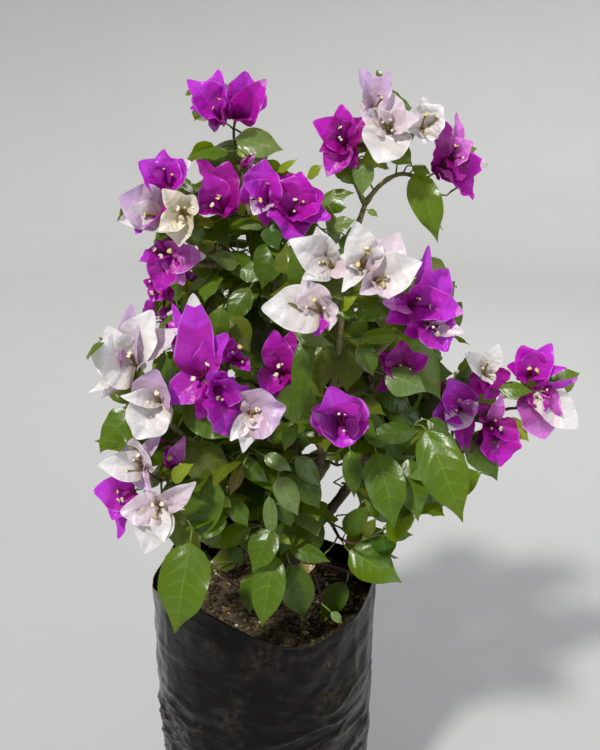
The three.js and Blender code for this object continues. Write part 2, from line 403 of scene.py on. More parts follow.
for tint, (throat, inner, body, outer, edge, glow) in BRACT_TINTS.items():
    shine, through = (0.5, 0.22) if tint in PALE_TINTS else (0.45, 0.3)
    # The throat skin is far darker than the body: partly the bract's own base colour, partly painted shade in
    # the throat.
    grown_skin(tint + "_throat", throat, inner, 4.0, 0.5, 2.6, 0.2, glow, 0.2, 0.3)
    grown_skin(tint + "_inner", inner, body, 5.0, 0.42, 2.6, 0.3, glow, through, shine)
    grown_skin(tint, body, inner, 7.0, 0.36, 2.6, 0.35, glow, through, shine)
    grown_skin(tint + "_outer", outer, body, 7.0, 0.36, 2.6, 0.35, glow, through, shine)
    # The edge skin is lighter than the outer zone: a painted highlight along the bract's rim.
    grown_skin(tint + "_edge", edge, outer, 7.0, 0.38, 2.6, 0.2, glow, 0.35, 0.5)

# Flower: a fine downy tube, and a small waxy star at its mouth.
grown_skin("flower_tube_green", "#9a8452", "#83703f", 3.0, 0.6, 0.4, 0.05, "#b49a5c", 0.15, 0.3)
grown_skin("flower_tube_rose", "#7e1f58", "#6a1648", 3.0, 0.6, 0.4, 0.05, "#a03070", 0.15, 0.3)
grown_skin("flower_star", "#f1ebdc", "#e8ddc0", 2.0, 0.5, 0.4, 0.03, "#fff8e4", 0.2, 0.4)
grown_skin("flower_star_yellow", "#ead99a", "#dcc47a", 2.0, 0.5, 0.4, 0.03, "#f4e4a0", 0.2, 0.4)
grown_skin("flower_eye", "#e6dba8", "#d4c484", 2.0, 0.6, 0.4, 0.03, "#c8b468", 0.1, 0.3)

# Shoot: this year's growth, still green, with a downy skin. Older twigs are purplish brown.
grown_skin("green_shoot", "#66743a", "#55622e", 5.0, 0.55, 0.5, 0.05, "#7c8c3c", 0.05)
grown_skin("purple_shoot", "#5c3a3a", "#4a2c30", 5.0, 0.6, 0.5, 0.06, "#6c4444", 0.03)
grown_skin("leaf_stalk", "#6f8440", "#5f7436", 5.0, 0.5, 0.5, 0.04, "#8ca040", 0.1)


def ramped(tree, value, low, dark, high, light):
    """Colours that go from dark to light while a value goes from low to high."""
    ramp = add_node(tree, "ValToRGB", {"Fac": value})
    for stop, position, code in zip(ramp.color_ramp.elements, (low, high), (dark, light)):
        stop.position, stop.color = position, linear(code)
    return ramp


def bark_finish(name, dark, light, spot):
    """Bougainvillea bark: thin, in fine flaking ridges with pale lenticels."""
    tree, place = start_finish(name)
    pattern = {"Vector": place, "Scale": per_metre(2.2), "Detail": 6.0, "Roughness": 0.65}
    ridges = add_node(tree, "TexNoise", pattern)
    spots = add_node(tree, "TexVoronoi", {"Vector": place, "Scale": per_metre(3.5)})
    pale = add_node(tree, "MapRange", {"Value": spots, "From Min": 0.16, "From Max": 0.1})
    shades = {"A": ramped(tree, ridges, 0.32, dark, 0.72, light), "B": linear(spot), "Factor": pale}
    surface = {
        "Base Color": add_node(tree, "Mix", shades, data_type="RGBA"),
        "Roughness": 0.85,
        "Normal": add_node(tree, "Bump", {"Height": ridges, "Strength": 0.9, "Distance": 0.4 * MM}),
        "Specular IOR Level": 0.3,
    }
    add_node(tree, "OutputMaterial", {"Surface": add_node(tree, "BsdfPrincipled", surface)})


bark_finish("bark_old", "#3b3024", "#7b6b55", "#968972")
bark_finish("bark_young", "#6a6242", "#a0966c", "#b4aa84")


def film_finish():
    """Black polythene film, blown and slit: half glossy where clean, matt brown where soil dust sticks."""
    tree, place = start_finish("black_film")
    broad = {"Vector": place, "Scale": per_metre(24), "Detail": 6.0, "Roughness": 0.55}
    fine = {"Vector": place, "Scale": per_metre(5.0), "Detail": 4.0, "Roughness": 0.6}
    drifts, specks = add_node(tree, "TexNoise", broad), add_node(tree, "TexNoise", fine)
    amount = add_node(tree, "MapRange", {"Value": drifts, "From Min": 0.48, "From Max": 0.74, "To Max": 0.62})
    grains = add_node(tree, "MapRange", {"Value": specks, "From Min": 0.40, "From Max": 0.66})
    dust = add_node(tree, "Math", {0: amount, 1: grains}, operation="MULTIPLY")
    shades = {"A": linear("#080706"), "B": linear("#4a3e2e"), "Factor": dust}
    level = add_node(tree, "Mapping", {"Vector": place, "Scale": (1.0, 1.0, 2.2)})
    folds = {"Vector": level, "Scale": per_metre(30), "Detail": 3.4, "Distortion": 0.9}
    creases = add_node(tree, "TexNoise", folds)
    surface = {
        "Base Color": add_node(tree, "Mix", shades, data_type="RGBA"),
        "Roughness": add_node(tree, "MapRange", {"Value": dust, "To Min": 0.17, "To Max": 0.7}),
        "Normal": add_node(tree, "Bump", {"Height": creases, "Strength": 0.5, "Distance": 2.2 * MM}),
        "IOR": 1.5,
        "Specular IOR Level": 0.15,
    }
    add_node(tree, "OutputMaterial", {"Surface": add_node(tree, "BsdfPrincipled", surface)})


film_finish()


def earth_finish(name, dark, light, cell, height, rough=0.95, lit=0.0):
    """Crumbly matter: two shades in fine specks, matt, with a raised grain. lit is its own light."""
    tree, place = start_finish(name)
    pattern = {"Vector": place, "Scale": per_metre(cell), "Detail": 8.0, "Roughness": 0.7}
    specks = add_node(tree, "TexNoise", pattern)
    surface = {
        "Base Color": ramped(tree, specks, 0.35, dark, 0.7, light),
        "Roughness": rough,
        "Normal": add_node(tree, "Bump", {"Height": specks, "Strength": 1.0, "Distance": height * MM}),
        "Specular IOR Level": 0.2,
        "Emission Strength": lit,
    }
    add_node(tree, "OutputMaterial", {"Surface": add_node(tree, "BsdfPrincipled", surface)})


earth_finish("potting_soil", "#1c1810", "#685a44", 3.2, 1.6)
earth_finish("soil_crumb_dark", "#1a150e", "#4c3f2c", 2.0, 0.5)
earth_finish("soil_crumb_brown", "#3a2d1f", "#7d6549", 2.0, 0.5)
earth_finish("grit_pale", "#b9b2a2", "#e2ddd0", 1.0, 0.2)
earth_finish("husk_straw", "#6b5635", "#a58c5a", 1.2, 0.2, 0.7)
earth_finish("litter_green", "#5d6420", "#a3a644", 1.6, 0.2, 0.7)
earth_finish("pebble_pink", "#7a5a50", "#a98578", 2.5, 0.3)
earth_finish("pale_floor", "#959697", "#98999a", 300.0, 0.05, 0.8, 0.145)

# Wood. Forks are where the leaders part; each leader is its forks, its two radii and its bow.
FORKS = {
    "first": (25, 2, 240),
    "left": (-20, -16, 312),
    "middle": (20, 10, 388),
    "crown": (6, 8, 444),
    "top_right": (66, 4, 478),
    "front": (46, -36, 372),
    "right": (76, -8, 322),
    "rear": (24, 48, 330),
}
LEADERS = {
    "leader_left": ("first", "left", 4.2, 2.8, (-6, -4, -4)),
    "leader_centre": ("first", "middle", 4.8, 3.2, (-5, 4, 0)),
    "leader_right": ("first", "right", 4.2, 2.8, (6, 0, -6)),
    "leader_rear": ("first", "rear", 4.0, 2.6, (0, 6, -4)),
    "leader_front": ("first", "front", 3.8, 2.4, (4, -8, 0)),
    "leader_crown": ("middle", "crown", 3.0, 2.3, (-2, 0, 0)),
    "leader_top_right": ("middle", "top_right", 2.8, 1.7, (8, -2, -4)),
}
# Limbs: the fork that each grows from, its radius there and its bow.
LIMBS = {
    "limb_left": ("left", 2.2, (-8, 0, -6)),
    "limb_left_middle": ("left", 2.2, (6, -6, 0)),
    "limb_low_left": ("left", 2.0, (-4, 0, 8)),
    "limb_left_side": ("left", 1.9, (-4, 0, 6)),
    "limb_top_left": ("crown", 2.0, (-6, 0, 0)),
    "limb_upper_left": ("crown", 2.0, (-4, 0, -6)),
    "limb_top_middle": ("crown", 1.8, (4, -4, 0)),
    "limb_top_right": ("top_right", 1.5, (-4, 0, 4)),
    "limb_top_right_outer": ("top_right", 1.6, (0, 0, 30)),
    "limb_centre_front": ("front", 2.0, (4, 4, 0)),
    "limb_centre_right": ("front", 2.0, (4, 0, -6)),
    "limb_low_centre": ("front", 1.8, (0, -4, -4)),
    "limb_right_inner": ("right", 2.3, (4, 0, 8)),
    "limb_lower_right": ("right", 2.0, (4, 0, 6)),
    "limb_back_high": ("rear", 2.4, (-6, 4, 0)),
    "limb_back_left": ("rear", 2.2, (-8, 4, 0)),
    "limb_back_middle": ("rear", 2.2, (0, 6, -4)),
    "limb_back_right": ("rear", 2.2, (6, 4, -6)),
    "limb_back_low_left": ("rear", 2.0, (0, 4, 6)),
    "limb_back_low_right": ("rear", 2.0, (0, 4, 6)),
}
LIMB_BOW_KEPT = 0.7  # a limb ends before the middle of its mass, and keeps this share of its bow
LIMB_TIP_SHARE = 0.7
STEM_FOOT = (18, 4)
STEM_RADIUS = 6
STEM_FLARE = 10
FLARE_HEIGHT = 0.35
SOIL_LEVEL = 190


class Line:
    """One grown line: wood, shoot or stalk. load counts the leaves and blooms that it feeds."""

    def __init__(self, kind, points, parent=None, attach=0, radii=None):
        self.kind, self.points, self.parent, self.radii = kind, points, parent, radii
        self.attach = attach  # the parent's point that it grows from
        self.used = 0  # its own last point that something grows from
        self.bears = False
        self.load = 1.0
        steps = np.diff(points, axis=0)
        self.ways = np.vstack([steps, steps[-1]])
        self.ways /= np.linalg.norm(self.ways, axis=1)[:, None]


lines = []
buds = {"spots": [], "ways": [], "lines": [], "numbers": []}  # where a new shoot may start


def add_line(line, first_bud=0):
    """Adds a line. New shoots may start from its points, from number first_bud on."""
    lines.append(line)
    if line.kind != "leaf_stalk":
        for number in range(first_bud, len(line.points)):
            buds["spots"].append(line.points[number])
            buds["ways"].append(line.ways[number])
            buds["lines"].append(len(lines) - 1)
            buds["numbers"].append(number)
    return line


def grow_wood():
    """The stem with its flared foot, the leaders between their forks, and the limbs into their masses."""
    foot = np.array((*STEM_FOOT, SOIL_LEVEL), float)
    head = np.array(FORKS["first"], float)
    corner = np.array((*STEM_FOOT, SOIL_LEVEL + 0.45 * (head[2] - SOIL_LEVEL)))
    share = np.linspace(0, 1, 36)
    stem = curve(pulled(foot, head, corner), share)
    flare = np.maximum(0, 1 - share / FLARE_HEIGHT) ** 2
    radii = STEM_RADIUS * (1 - 0.12 * share) + (STEM_FLARE - STEM_RADIUS) * flare
    add_line(Line("wood", stem, radii=radii), int(len(stem) * 0.6))
    for name, (below, above, start_radius, end_radius, bow) in LEADERS.items():
        handles = bowed(FORKS[below], FORKS[above], bow)
        share = np.linspace(0, 1, int(np.linalg.norm(handles[3] - handles[0]) / 1.8))
        radii = start_radius + (end_radius - start_radius) * share
        add_line(Line("wood", curve(handles, share), radii=radii), int(len(share) * 0.15))
    for name, (fork, radius, bow) in LIMBS.items():
        start = np.array(FORKS[fork], float)
        corners = np.array([v.co for v in frame["nodes"][name].data.vertices]) / MM
        away = np.linalg.norm(corners - start, axis=1)
        end = corners[away > away.max() - radius].mean(axis=0)
        handles = bowed(start, end, np.array(bow) * LIMB_BOW_KEPT)
        share = np.linspace(0, 1, max(6, int(np.linalg.norm(end - start) / 1.8)))
        radii = radius * (1 - (1 - LIMB_TIP_SHARE) * share)
        add_line(Line("wood", curve(handles, share), radii=radii), int(len(share) * 0.3))


grow_wood()


def best_bud(target):
    """The bud from which a shoot reaches a point most directly: number and distance.
    A way that goes on ahead costs least, and one that hangs down costs more."""
    spots, ways = np.array(buds["spots"]), np.array(buds["ways"])
    to = target - spots
    away = np.maximum(np.linalg.norm(to, axis=1), 1e-6)
    ahead = np.einsum("ij,ij->i", to, ways) / away
    hang = np.maximum(0, -to[:, 2] / away)
    cost = away * (1.5 - 0.5 * ahead) * (1 + 1.2 * hang)
    pick = int(np.argmin(cost))
    return pick, away[pick]


def grow_to(target, heading, kind, rng, sway=0.05):
    """Grows a line from the best bud to a point, arriving along heading. sway is its sideways bow."""
    pick, away = best_bud(target)
    start, way = buds["spots"][pick], buds["ways"][pick]
    parent = lines[buds["lines"][pick]]
    leave = unit(way * 0.5 + unit(target - start))
    aside = square_to(rng.normal(0, 1, 3), unit(target - start)) * away * sway
    handles = (start, start + leave * away * 0.35 + aside, target - heading * away * 0.35 + aside, target)
    count = max(4, int(away / 4) + 2)
    line = Line(kind, curve(handles, np.linspace(0, 1, count)), parent, buds["numbers"][pick])
    return add_line(line, min(2, count - 1))


def trimmed():
    """The lines without bare ends and without shoots that bear nothing."""
    kept = []
    for line in reversed(lines):
        if line.kind == "shoot" and not line.bears:
            if line.used < 1:
                continue
            line.points = line.points[: line.used + 1]
        if line.parent is not None:
            line.parent.used = max(line.parent.used, line.attach)
        kept.append(line)
    return kept[::-1]


# Masses, as the frame holds them
SPRAYS = sorted(n for n in frame["nodes"] if n.endswith("_spray"))
LEAF_MASSES = sorted(n for n in frame["nodes"] if n.endswith("_leaves"))


def skin_of(node):
    """A tree to find the nearest place on a node's skin."""
    mesh = bmesh.new()
    mesh.from_mesh(frame["nodes"][node].data)
    tree = BVHTree.FromBMesh(mesh)
    mesh.free()
    return tree


skins = {name: skin_of(name) for name in SPRAYS + LEAF_MASSES}


def depth_in(name, point):
    """How deep a point lies under a mass's skin in millimetres, and the skin's outward direction there."""
    spot, normal, _, away = skins[name].find_nearest(Vector(point) * MM)
    offset = Vector(point) * MM - spot
    sign = -1 if offset.dot(normal) > 0 else 1
    return sign * away / MM, np.array(normal)


def box_of(name):
    """The lowest and highest corner of a node in millimetres."""
    return (np.array(corner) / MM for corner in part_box(name))


TRIES, UNDER_SKIN = 60, 3


def points_in(name, count, apart, rng):
    """Points inside a mass, at least apart from each other."""
    low, high = box_of(name)
    found = []
    for _ in range(count * TRIES):
        point = rng.uniform(low, high)
        is_free = all(np.linalg.norm(point - other) > apart for other in found)
        if is_free and depth_in(name, point)[0] > UNDER_SKIN:
            found.append(point)
            if len(found) == count:
                break
    return found


# Blooms that the photo shows. Each has the pixel of its throat, its depth along Y, where it faces as shares
# of right, above and towards the camera, and its bracts: the tip's pixel, how far it leans to the front, its
# width, its tint, and for some the degrees that it turns about its length. A second tint is the tip's.
# A deep or plum bract beside lighter ones of its bloom carries painted shade.
BLOOMS = [
    # top left spray
    (222, 120, 8, (-0.35, 0.3, 0.9), (187, 79, 4, 22, "violet"), (190, 108, 8, 22, "violet"),
     (219, 69, 2, 24, "violet"), (214, 132, 6, 11, "rose"), (231, 92, 9, 15, "rose")),
    (236, 120, 6, (0.3, 0.3, 0.9), (246, 71, 0, 25, "violet"), (267, 79, 8, 18, "magenta/rose", 35),
     (230, 84, -2, 19, "violet"), (250, 121, 8, 14, "deep")),
    # upper left spray
    (168, 190, -14, (-0.1, 0.4, 0.9), (164, 149, 2, 22, "violet"), (138, 162, 6, 22, "violet"),
     (192, 162, 4, 22, "violet/blush"), (150, 182, 10, 14, "magenta")),
    (162, 216, -22, (-0.6, 0.2, 0.8), (119, 197, 4, 26, "lilac"), (119, 222, 9, 17, "white", -30),
     (136, 235, 8, 15, "violet"), (160, 196, -6, 20, "magenta")),
    (184, 214, -30, (-0.1, -0.1, 1.0), (162, 189, 4, 14, "cream", 25), (179, 247, 3, 18, "cream", 20),
     (195, 195, -1, 13, "cream"), (159, 231, 8, 14, "cream")),
    (222, 214, -8, (-0.1, 0.4, 0.9), (229, 161, 0, 26, "deep"), (196, 211, 8, 20, "deep"),
     (206, 172, 4, 20, "magenta"), (242, 190, 0, 14, "magenta")),
    (170, 254, -20, (-0.2, 0.1, 0.9), (139, 262, 4, 13, "violet", 20), (158, 292, 6, 18, "magenta"),
     (206, 256, 4, 18, "rose/blush", 30), (166, 238, -6, 16, "magenta"), (184, 286, 6, 12, "rose")),
    (166, 284, -16, (-0.4, -0.3, 0.9), (143, 281, 4, 12, "magenta"), (151, 301, 4, 12, "magenta"),
     (172, 303, 0, 12, "deep")),
    # top middle spray
    (268, 203, -16, (-0.2, 0.3, 0.9), (264, 158, 0, 26, "violet"), (244, 184, 8, 18, "violet"),
     (253, 214, 8, 15, "lilac/white"), (266, 226, 4, 11, "magenta"), (284, 190, 0, 16, "magenta")),
    (291, 216, -18, (0.1, 0.4, 0.9), (301, 171, 0, 30, "magenta"), (324, 194, 2, 26, "magenta"),
     (331, 220, 10, 20, "violet"), (284, 238, 12, 26, "violet"), (276, 190, -2, 18, "deep")),
    # top right spray
    (346, 145, -2, (-0.2, 0.1, 1.0), (341, 104, 0, 15, "magenta"), (313, 121, 4, 19, "magenta"),
     (326, 177, 10, 17, "magenta/rose"), (363, 117, -6, 20, "deep"), (319, 152, 8, 14, "deep"),
     (356, 168, 4, 12, "deep")),
    (372, 114, -8, (0.0, 0.5, 0.85), (359, 69, 2, 19, "lilac"), (391, 72, 4, 18, "lilac"),
     (398, 102, -4, 22, "blush"), (360, 104, -2, 16, "blush")),
    (391, 131, -18, (-0.1, 0.0, 1.0), (378, 165, 8, 28, "white"), (361, 112, -2, 14, "blush"),
     (392, 92, -8, 16, "blush"), (419, 118, 8, 15, "blush", -20)),
    (421, 130, -14, (0.2, 0.1, 1.0), (423, 97, 2, 22, "white"), (443, 106, 4, 20, "white"),
     (424, 144, 8, 18, "white")),
    # top right outer spray
    (437, 171, 0, (0.6, 0.0, 0.8), (445, 121, 0, 26, "deep"), (472, 201, 8, 26, "magenta"),
     (488, 164, 6, 18, "magenta/blush"), (430, 168, 6, 12, "deep")),
    (448, 160, -8, (0.5, 0.3, 0.8), (474, 143, 4, 16, "rose"), (457, 112, -4, 10, "rose"),
     (462, 180, 6, 18, "deep")),
    # centre front spray
    (333, 268, -74, (-0.35, 0.3, 0.9), (289, 240, 6, 21, "white"), (317, 226, 0, 16, "white"),
     (302, 279, 12, 13, "white", -40), (350, 276, 10, 10, "blush")),
    (362, 268, -80, (0.0, 0.3, 1.0), (356, 221, 2, 19, "white"), (342, 292, 10, 9, "white"),
     (380, 238, -4, 17, "blush"), (340, 256, 4, 11, "white")),
    (374, 283, -78, (0.3, 0.2, 0.95), (399, 232, -2, 20, "blush"), (422, 262, 6, 23, "white"),
     (388, 300, 12, 14, "blush", -20), (360, 294, 10, 12, "blush")),
    (322, 312, -82, (-0.35, 0.1, 0.95), (261, 308, 6, 25, "white"), (338, 308, 6, 20, "blush", 15),
     (303, 278, 0, 18, "blush"), (316, 337, 4, 12, "violet")),
    # centre right spray
    (408, 306, -62, (0.5, 0.1, 0.9), (448, 268, 2, 28, "violet"), (429, 245, -8, 12, "violet"),
     (464, 313, 8, 20, "violet/rose"), (386, 322, 8, 16, "magenta"), (382, 302, 10, 12, "rose")),
    (425, 322, -64, (0.5, -0.3, 0.85), (447, 352, 6, 22, "violet"), (464, 332, 8, 11, "blush", -30),
     (404, 334, 6, 14, "magenta"), (440, 318, 10, 12, "lilac")),
    # right inner spray
    (484, 373, -10, (0.0, 0.2, 1.0), (464, 353, 5, 14, "white", 10), (499, 344, 3, 13, "white", -10),
     (492, 385, 8, 11, "white"), (496, 398, -6, 22, "magenta"), (470, 398, -4, 14, "deep")),
    (460, 410, -12, (-0.1, 0.2, 1.0), (448, 378, 0, 22, "violet"), (432, 416, 6, 20, "violet"),
     (478, 402, 6, 15, "rose/blush", 30), (450, 430, 12, 19, "lilac/white"), (466, 452, 4, 14, "magenta")),
    (490, 424, -10, (0.2, 0.1, 0.95), (502, 393, 4, 10, "rose"), (501, 467, 6, 28, "magenta"),
     (480, 456, 4, 16, "plum"), (516, 440, 4, 15, "magenta"), (478, 402, -6, 14, "deep")),
    # right outer spray
    (528, 378, -2, (0.0, 0.4, 0.9), (520, 345, 0, 22, "magenta"), (552, 343, 2, 20, "violet"),
     (567, 368, 8, 10, "violet"), (507, 366, 4, 16, "magenta")),
    (531, 388, -4, (0.2, -0.2, 0.95), (578, 378, 4, 12, "violet/rose", 30), (545, 412, 8, 20, "deep"),
     (544, 439, 2, 30, "rose"), (578, 428, 0, 25, "white", -15), (520, 410, 2, 14, "magenta")),
    # left spray
    (137, 366, -58, (-0.4, 0.25, 0.9), (90, 350, 8, 33, "white"), (132, 303, -2, 15, "lilac"),
     (152, 310, 2, 25, "white"), (181, 328, 2, 21, "blush"), (106, 327, 3, 23, "white")),
    (130, 384, -62, (-0.8, -0.1, 0.6), (89, 392, 8, 11, "white", 40), (101, 399, 10, 8, "blush", 40),
     (124, 316, -10, 8, "magenta")),
    (160, 402, -66, (-0.2, -0.1, 1.0), (156, 369, 4, 26, "lilac"), (120, 396, 10, 11, "white", 30),
     (136, 439, 8, 26, "white"), (170, 424, 4, 14, "blush")),
    # left middle spray
    (202, 378, -64, (0.0, 0.35, 0.9), (193, 293, 0, 23, "violet/white"), (170, 405, 6, 20, "violet"),
     (227, 333, 6, 17, "violet"), (172, 303, -14, 10, "violet")),
    (232, 358, -58, (0.5, 0.1, 0.9), (250, 371, 6, 10, "magenta"), (240, 350, 4, 12, "violet"),
     (218, 340, 0, 14, "magenta")),
    (212, 388, -72, (0.7, -0.1, 0.7), (234, 376, 0, 18, "violet"), (227, 436, 6, 28, "violet"),
     (197, 420, 6, 22, "magenta"), (249, 386, 8, 20, "violet"), (206, 374, 10, 18, "violet")),
    (250, 414, -76, (0.2, 0.1, 1.0), (286, 406, 8, 28, "lilac"), (262, 390, -2, 15, "blush"),
     (243, 453, 8, 12, "white"), (230, 441, 8, 10, "white"), (268, 428, 10, 14, "blush")),
    # low left spray
    (143, 468, -68, (-0.35, 0.2, 0.95), (136, 436, 2, 24, "blush"), (98, 465, 10, 18, "white"),
     (162, 432, 0, 10, "lilac"), (150, 492, 6, 13, "lilac")),
    (170, 468, -56, (0.3, 0.3, 0.9), (185, 436, 0, 10, "rose"), (186, 458, 0, 14, "violet"),
     (168, 445, -6, 10, "magenta")),
    (136, 490, -62, (-0.6, 0.0, 0.8), (93, 491, 6, 24, "violet"), (112, 520, 8, 18, "violet"),
     (119, 539, 4, 12, "violet")),
    (161, 506, -74, (0.0, -0.1, 1.0), (120, 512, 6, 19, "blush"), (196, 482, 6, 14, "blush"),
     (144, 554, 6, 23, "white"), (164, 542, 9, 12, "white"), (187, 504, 8, 9, "blush"),
     (150, 490, 0, 14, "blush")),
    # low centre spray
    (341, 426, -86, (0.0, 0.2, 1.0), (331, 387, 4, 30, "violet"), (361, 401, 6, 21, "plum"),
     (343, 448, 12, 27, "violet"), (310, 410, 8, 22, "plum")),
    # between the leaves of the middle
    (280, 374, -24, (0.0, 0.2, 0.95), (274, 330, 0, 19, "magenta"), (295, 328, -2, 15, "deep"),
     (262, 396, 4, 18, "magenta"), (288, 404, 4, 17, "magenta")),
    (400, 376, -44, (0.0, 0.3, 0.9), (377, 350, 0, 18, "deep"), (402, 340, 0, 18, "deep"),
     (428, 356, 0, 16, "magenta"), (376, 392, 2, 10, "deep")),
    # a bud under the top left spray
    (242, 167, -2, (0.5, 0.2, 0.8), (255, 155, 0, 6, "rose"), (250, 163, 3, 5, "magenta")),
]

# Leaves that the photo shows: the pixels of base and tip, the depth along Y, how far the tip leans to the
# front, the width, the tone, and for some the degrees that it turns about its length.
# A bright or pale tone carries painted light and sheen, a dark or deep one painted shade.
LEAVES = [
    # top left
    (236, 139, 283, 150, 4, 6, 17, "pale", 30), (229, 151, 186, 158, 2, 6, 15, "bright", 20),
    (238, 150, 250, 158, 2, 4, 7, "young"),
    # upper
    (214, 222, 197, 225, -10, 4, 8, "young"), (238, 214, 246, 198, -6, 4, 10, "young"),
    (262, 227, 232, 228, -16, 6, 8, "pale", 10), (278, 172, 298, 159, 0, 4, 5, "young", 20),
    (307, 178, 324, 165, -4, 4, 8, "young"), (321, 205, 338, 197, -10, 4, 6, "pale"),
    (327, 229, 357, 220, -14, 6, 10, "pale", 10), (321, 200, 355, 193, -4, 4, 8, "bright", 10),
    (214, 242, 197, 253, -14, 4, 9, "olive"), (238, 264, 207, 256, -14, 5, 13, "pale"),
    (241, 268, 266, 280, -12, 5, 14, "pale"), (205, 279, 190, 291, -16, 4, 8, "pale"),
    (276, 243, 262, 291, -18, 4, 20, "mid"), (250, 288, 226, 328, -20, 6, 15, "mid"),
    (230, 254, 254, 282, -8, 4, 16, "bright"), (256, 284, 232, 316, -8, 4, 16, "bright"),
    (262, 300, 284, 326, -6, 4, 16, "dark"),
    # top right
    (364, 158, 362, 197, -6, 4, 13, "pale"), (336, 166, 357, 187, -2, 4, 12, "mid"),
    (388, 146, 413, 166, -12, 6, 14, "bright", 10), (412, 166, 432, 176, -10, 4, 8, "mid"),
    (415, 172, 438, 244, -8, 8, 19, "bright", 10), (368, 210, 378, 217, -4, 3, 5, "pale"),
    # centre
    (345, 291, 317, 286, -72, 6, 16, "olive"), (340, 309, 359, 296, -76, 4, 8, "young"),
    (358, 304, 388, 318, -70, 6, 16, "mid"), (333, 309, 357, 318, -74, 4, 7, "bright"),
    (295, 334, 334, 346, -66, 6, 9, "pale", 20), (360, 339, 406, 333, -62, 5, 9, "bright", 20),
    (360, 344, 374, 378, -60, 4, 13, "mid"), (308, 331, 296, 424, -60, 10, 12, "mid"),
    (322, 344, 320, 395, -48, 6, 15, "olive"), (350, 342, 346, 392, -46, 6, 18, "olive"),
    (396, 332, 441, 400, -34, 4, 26, "bright", 15), (384, 374, 426, 392, -54, 4, 19, "pale"),
    (352, 320, 366, 344, -28, 3, 14, "dark"), (322, 336, 338, 358, -28, 3, 13, "dark"),
    (308, 378, 324, 398, -30, 3, 12, "olive"), (380, 392, 412, 412, -34, 3, 16, "dark"),
    (384, 406, 424, 426, -36, 4, 15, "dark"), (416, 431, 364, 438, -66, 4, 13, "dark"),
    # lower right
    (426, 430, 463, 523, -66, 24, 27, "bright", 10), (376, 452, 394, 529, -68, 18, 24, "bright"),
    (408, 458, 418, 522, -62, 16, 20, "bright"), (350, 450, 354, 498, -64, 5, 12, "bright"),
    (427, 420, 450, 436, -58, 4, 11, "dark"), (499, 389, 534, 392, -12, 4, 11, "bright"),
    (504, 420, 529, 442, -6, 4, 14, "young"), (468, 434, 497, 481, -14, 6, 22, "dark"),
    (364, 536, 377, 517, -56, 3, 8, "olive"), (386, 535, 414, 535, -50, 4, 9, "pale"),
    (345, 534, 371, 504, -34, 4, 15, "dark"),
    # left
    (186, 398, 240, 440, -60, 8, 27, "bright"), (136, 410, 99, 454, -48, 4, 22, "bright"),
    (228, 316, 274, 340, -2, 0, 26, "deep"), (276, 345, 238, 388, 0, 0, 26, "dark"),
    (228, 345, 264, 384, -6, 0, 22, "dark"), (252, 370, 262, 387, -20, 2, 6, "pale"),
    # lower left and centre
    (172, 480, 195, 463, -72, 4, 10, "young"), (188, 444, 228, 492, -54, 4, 25, "olive"),
    (206, 472, 202, 542, -60, 12, 25, "mid"), (171, 508, 191, 526, -66, 4, 11, "olive"),
    (218, 497, 232, 508, -62, 3, 7, "young"), (229, 498, 248, 527, -58, 6, 12, "mid"),
    (241, 468, 230, 496, -62, 4, 8, "rusty"), (233, 459, 270, 484, -52, 4, 13, "mid"),
    (264, 456, 293, 472, -56, 4, 10, "pale"), (295, 421, 284, 452, -60, 3, 9, "bright"),
    (296, 457, 321, 487, -54, 4, 13, "pale"), (269, 496, 272, 538, -52, 4, 9, "pale"),
    (278, 477, 298, 516, -58, 6, 15, "pale"), (297, 473, 320, 509, -54, 4, 15, "mid"),
    (279, 498, 291, 528, -46, 4, 12, "dark"), (272, 528, 252, 574, -56, 10, 19, "mid"),
    (251, 528, 208, 548, -50, 4, 14, "bright"), (277, 535, 292, 545, -48, 3, 6, "young"),
    (230, 546, 243, 565, -40, 3, 9, "cool"),
    # skirt
    (190, 542, 175, 633, -88, 20, 30, "bright", -10), (274, 554, 262, 627, -56, 18, 21, "bright"),
    (290, 564, 304, 618, -46, 6, 22, "dark"), (287, 546, 331, 562, -40, 4, 12, "mid"),
    (315, 560, 293, 577, -44, 3, 9, "rusty"), (349, 551, 402, 583, -34, 10, 26, "bright"),
    (346, 583, 320, 619, -18, 4, 17, "dark"), (331, 612, 343, 624, -52, 2, 6, "pale"),
]

# Windows where the crown is open between its leaves: left, top, right, bottom, as pixels
WINDOWS = [
    (266, 60, 312, 170),
    (392, 78, 418, 106),
    (318, 462, 352, 512),
    (366, 502, 386, 530),
    (318, 512, 342, 545),
    (205, 565, 250, 640),
    (442, 190, 470, 262),
    (394, 208, 424, 238),
]

placed_blooms, placed_leaves = [], []

# Nets for blades and flowers
LEAF_NET = blade_net(6, 4, 0.006, (0.028, 0.34, 0.64, 0.88, 1.0), 0.27, (0.62, 1.0, 0.55))
SMALL_LEAF_NET = blade_net(4, 2, 0.009, (0.035, 0.5, 1.0), 0.25, (0.62, 1.0, 0.5))
BRACT_NET = blade_net(6, 4, 0.005, (0.03, 0.24, 0.5, 0.75, 0.93, 1.0), 0.24, (0.46, 0.62, 0.34))
FLOWER_NET = tube_net(10, 8)


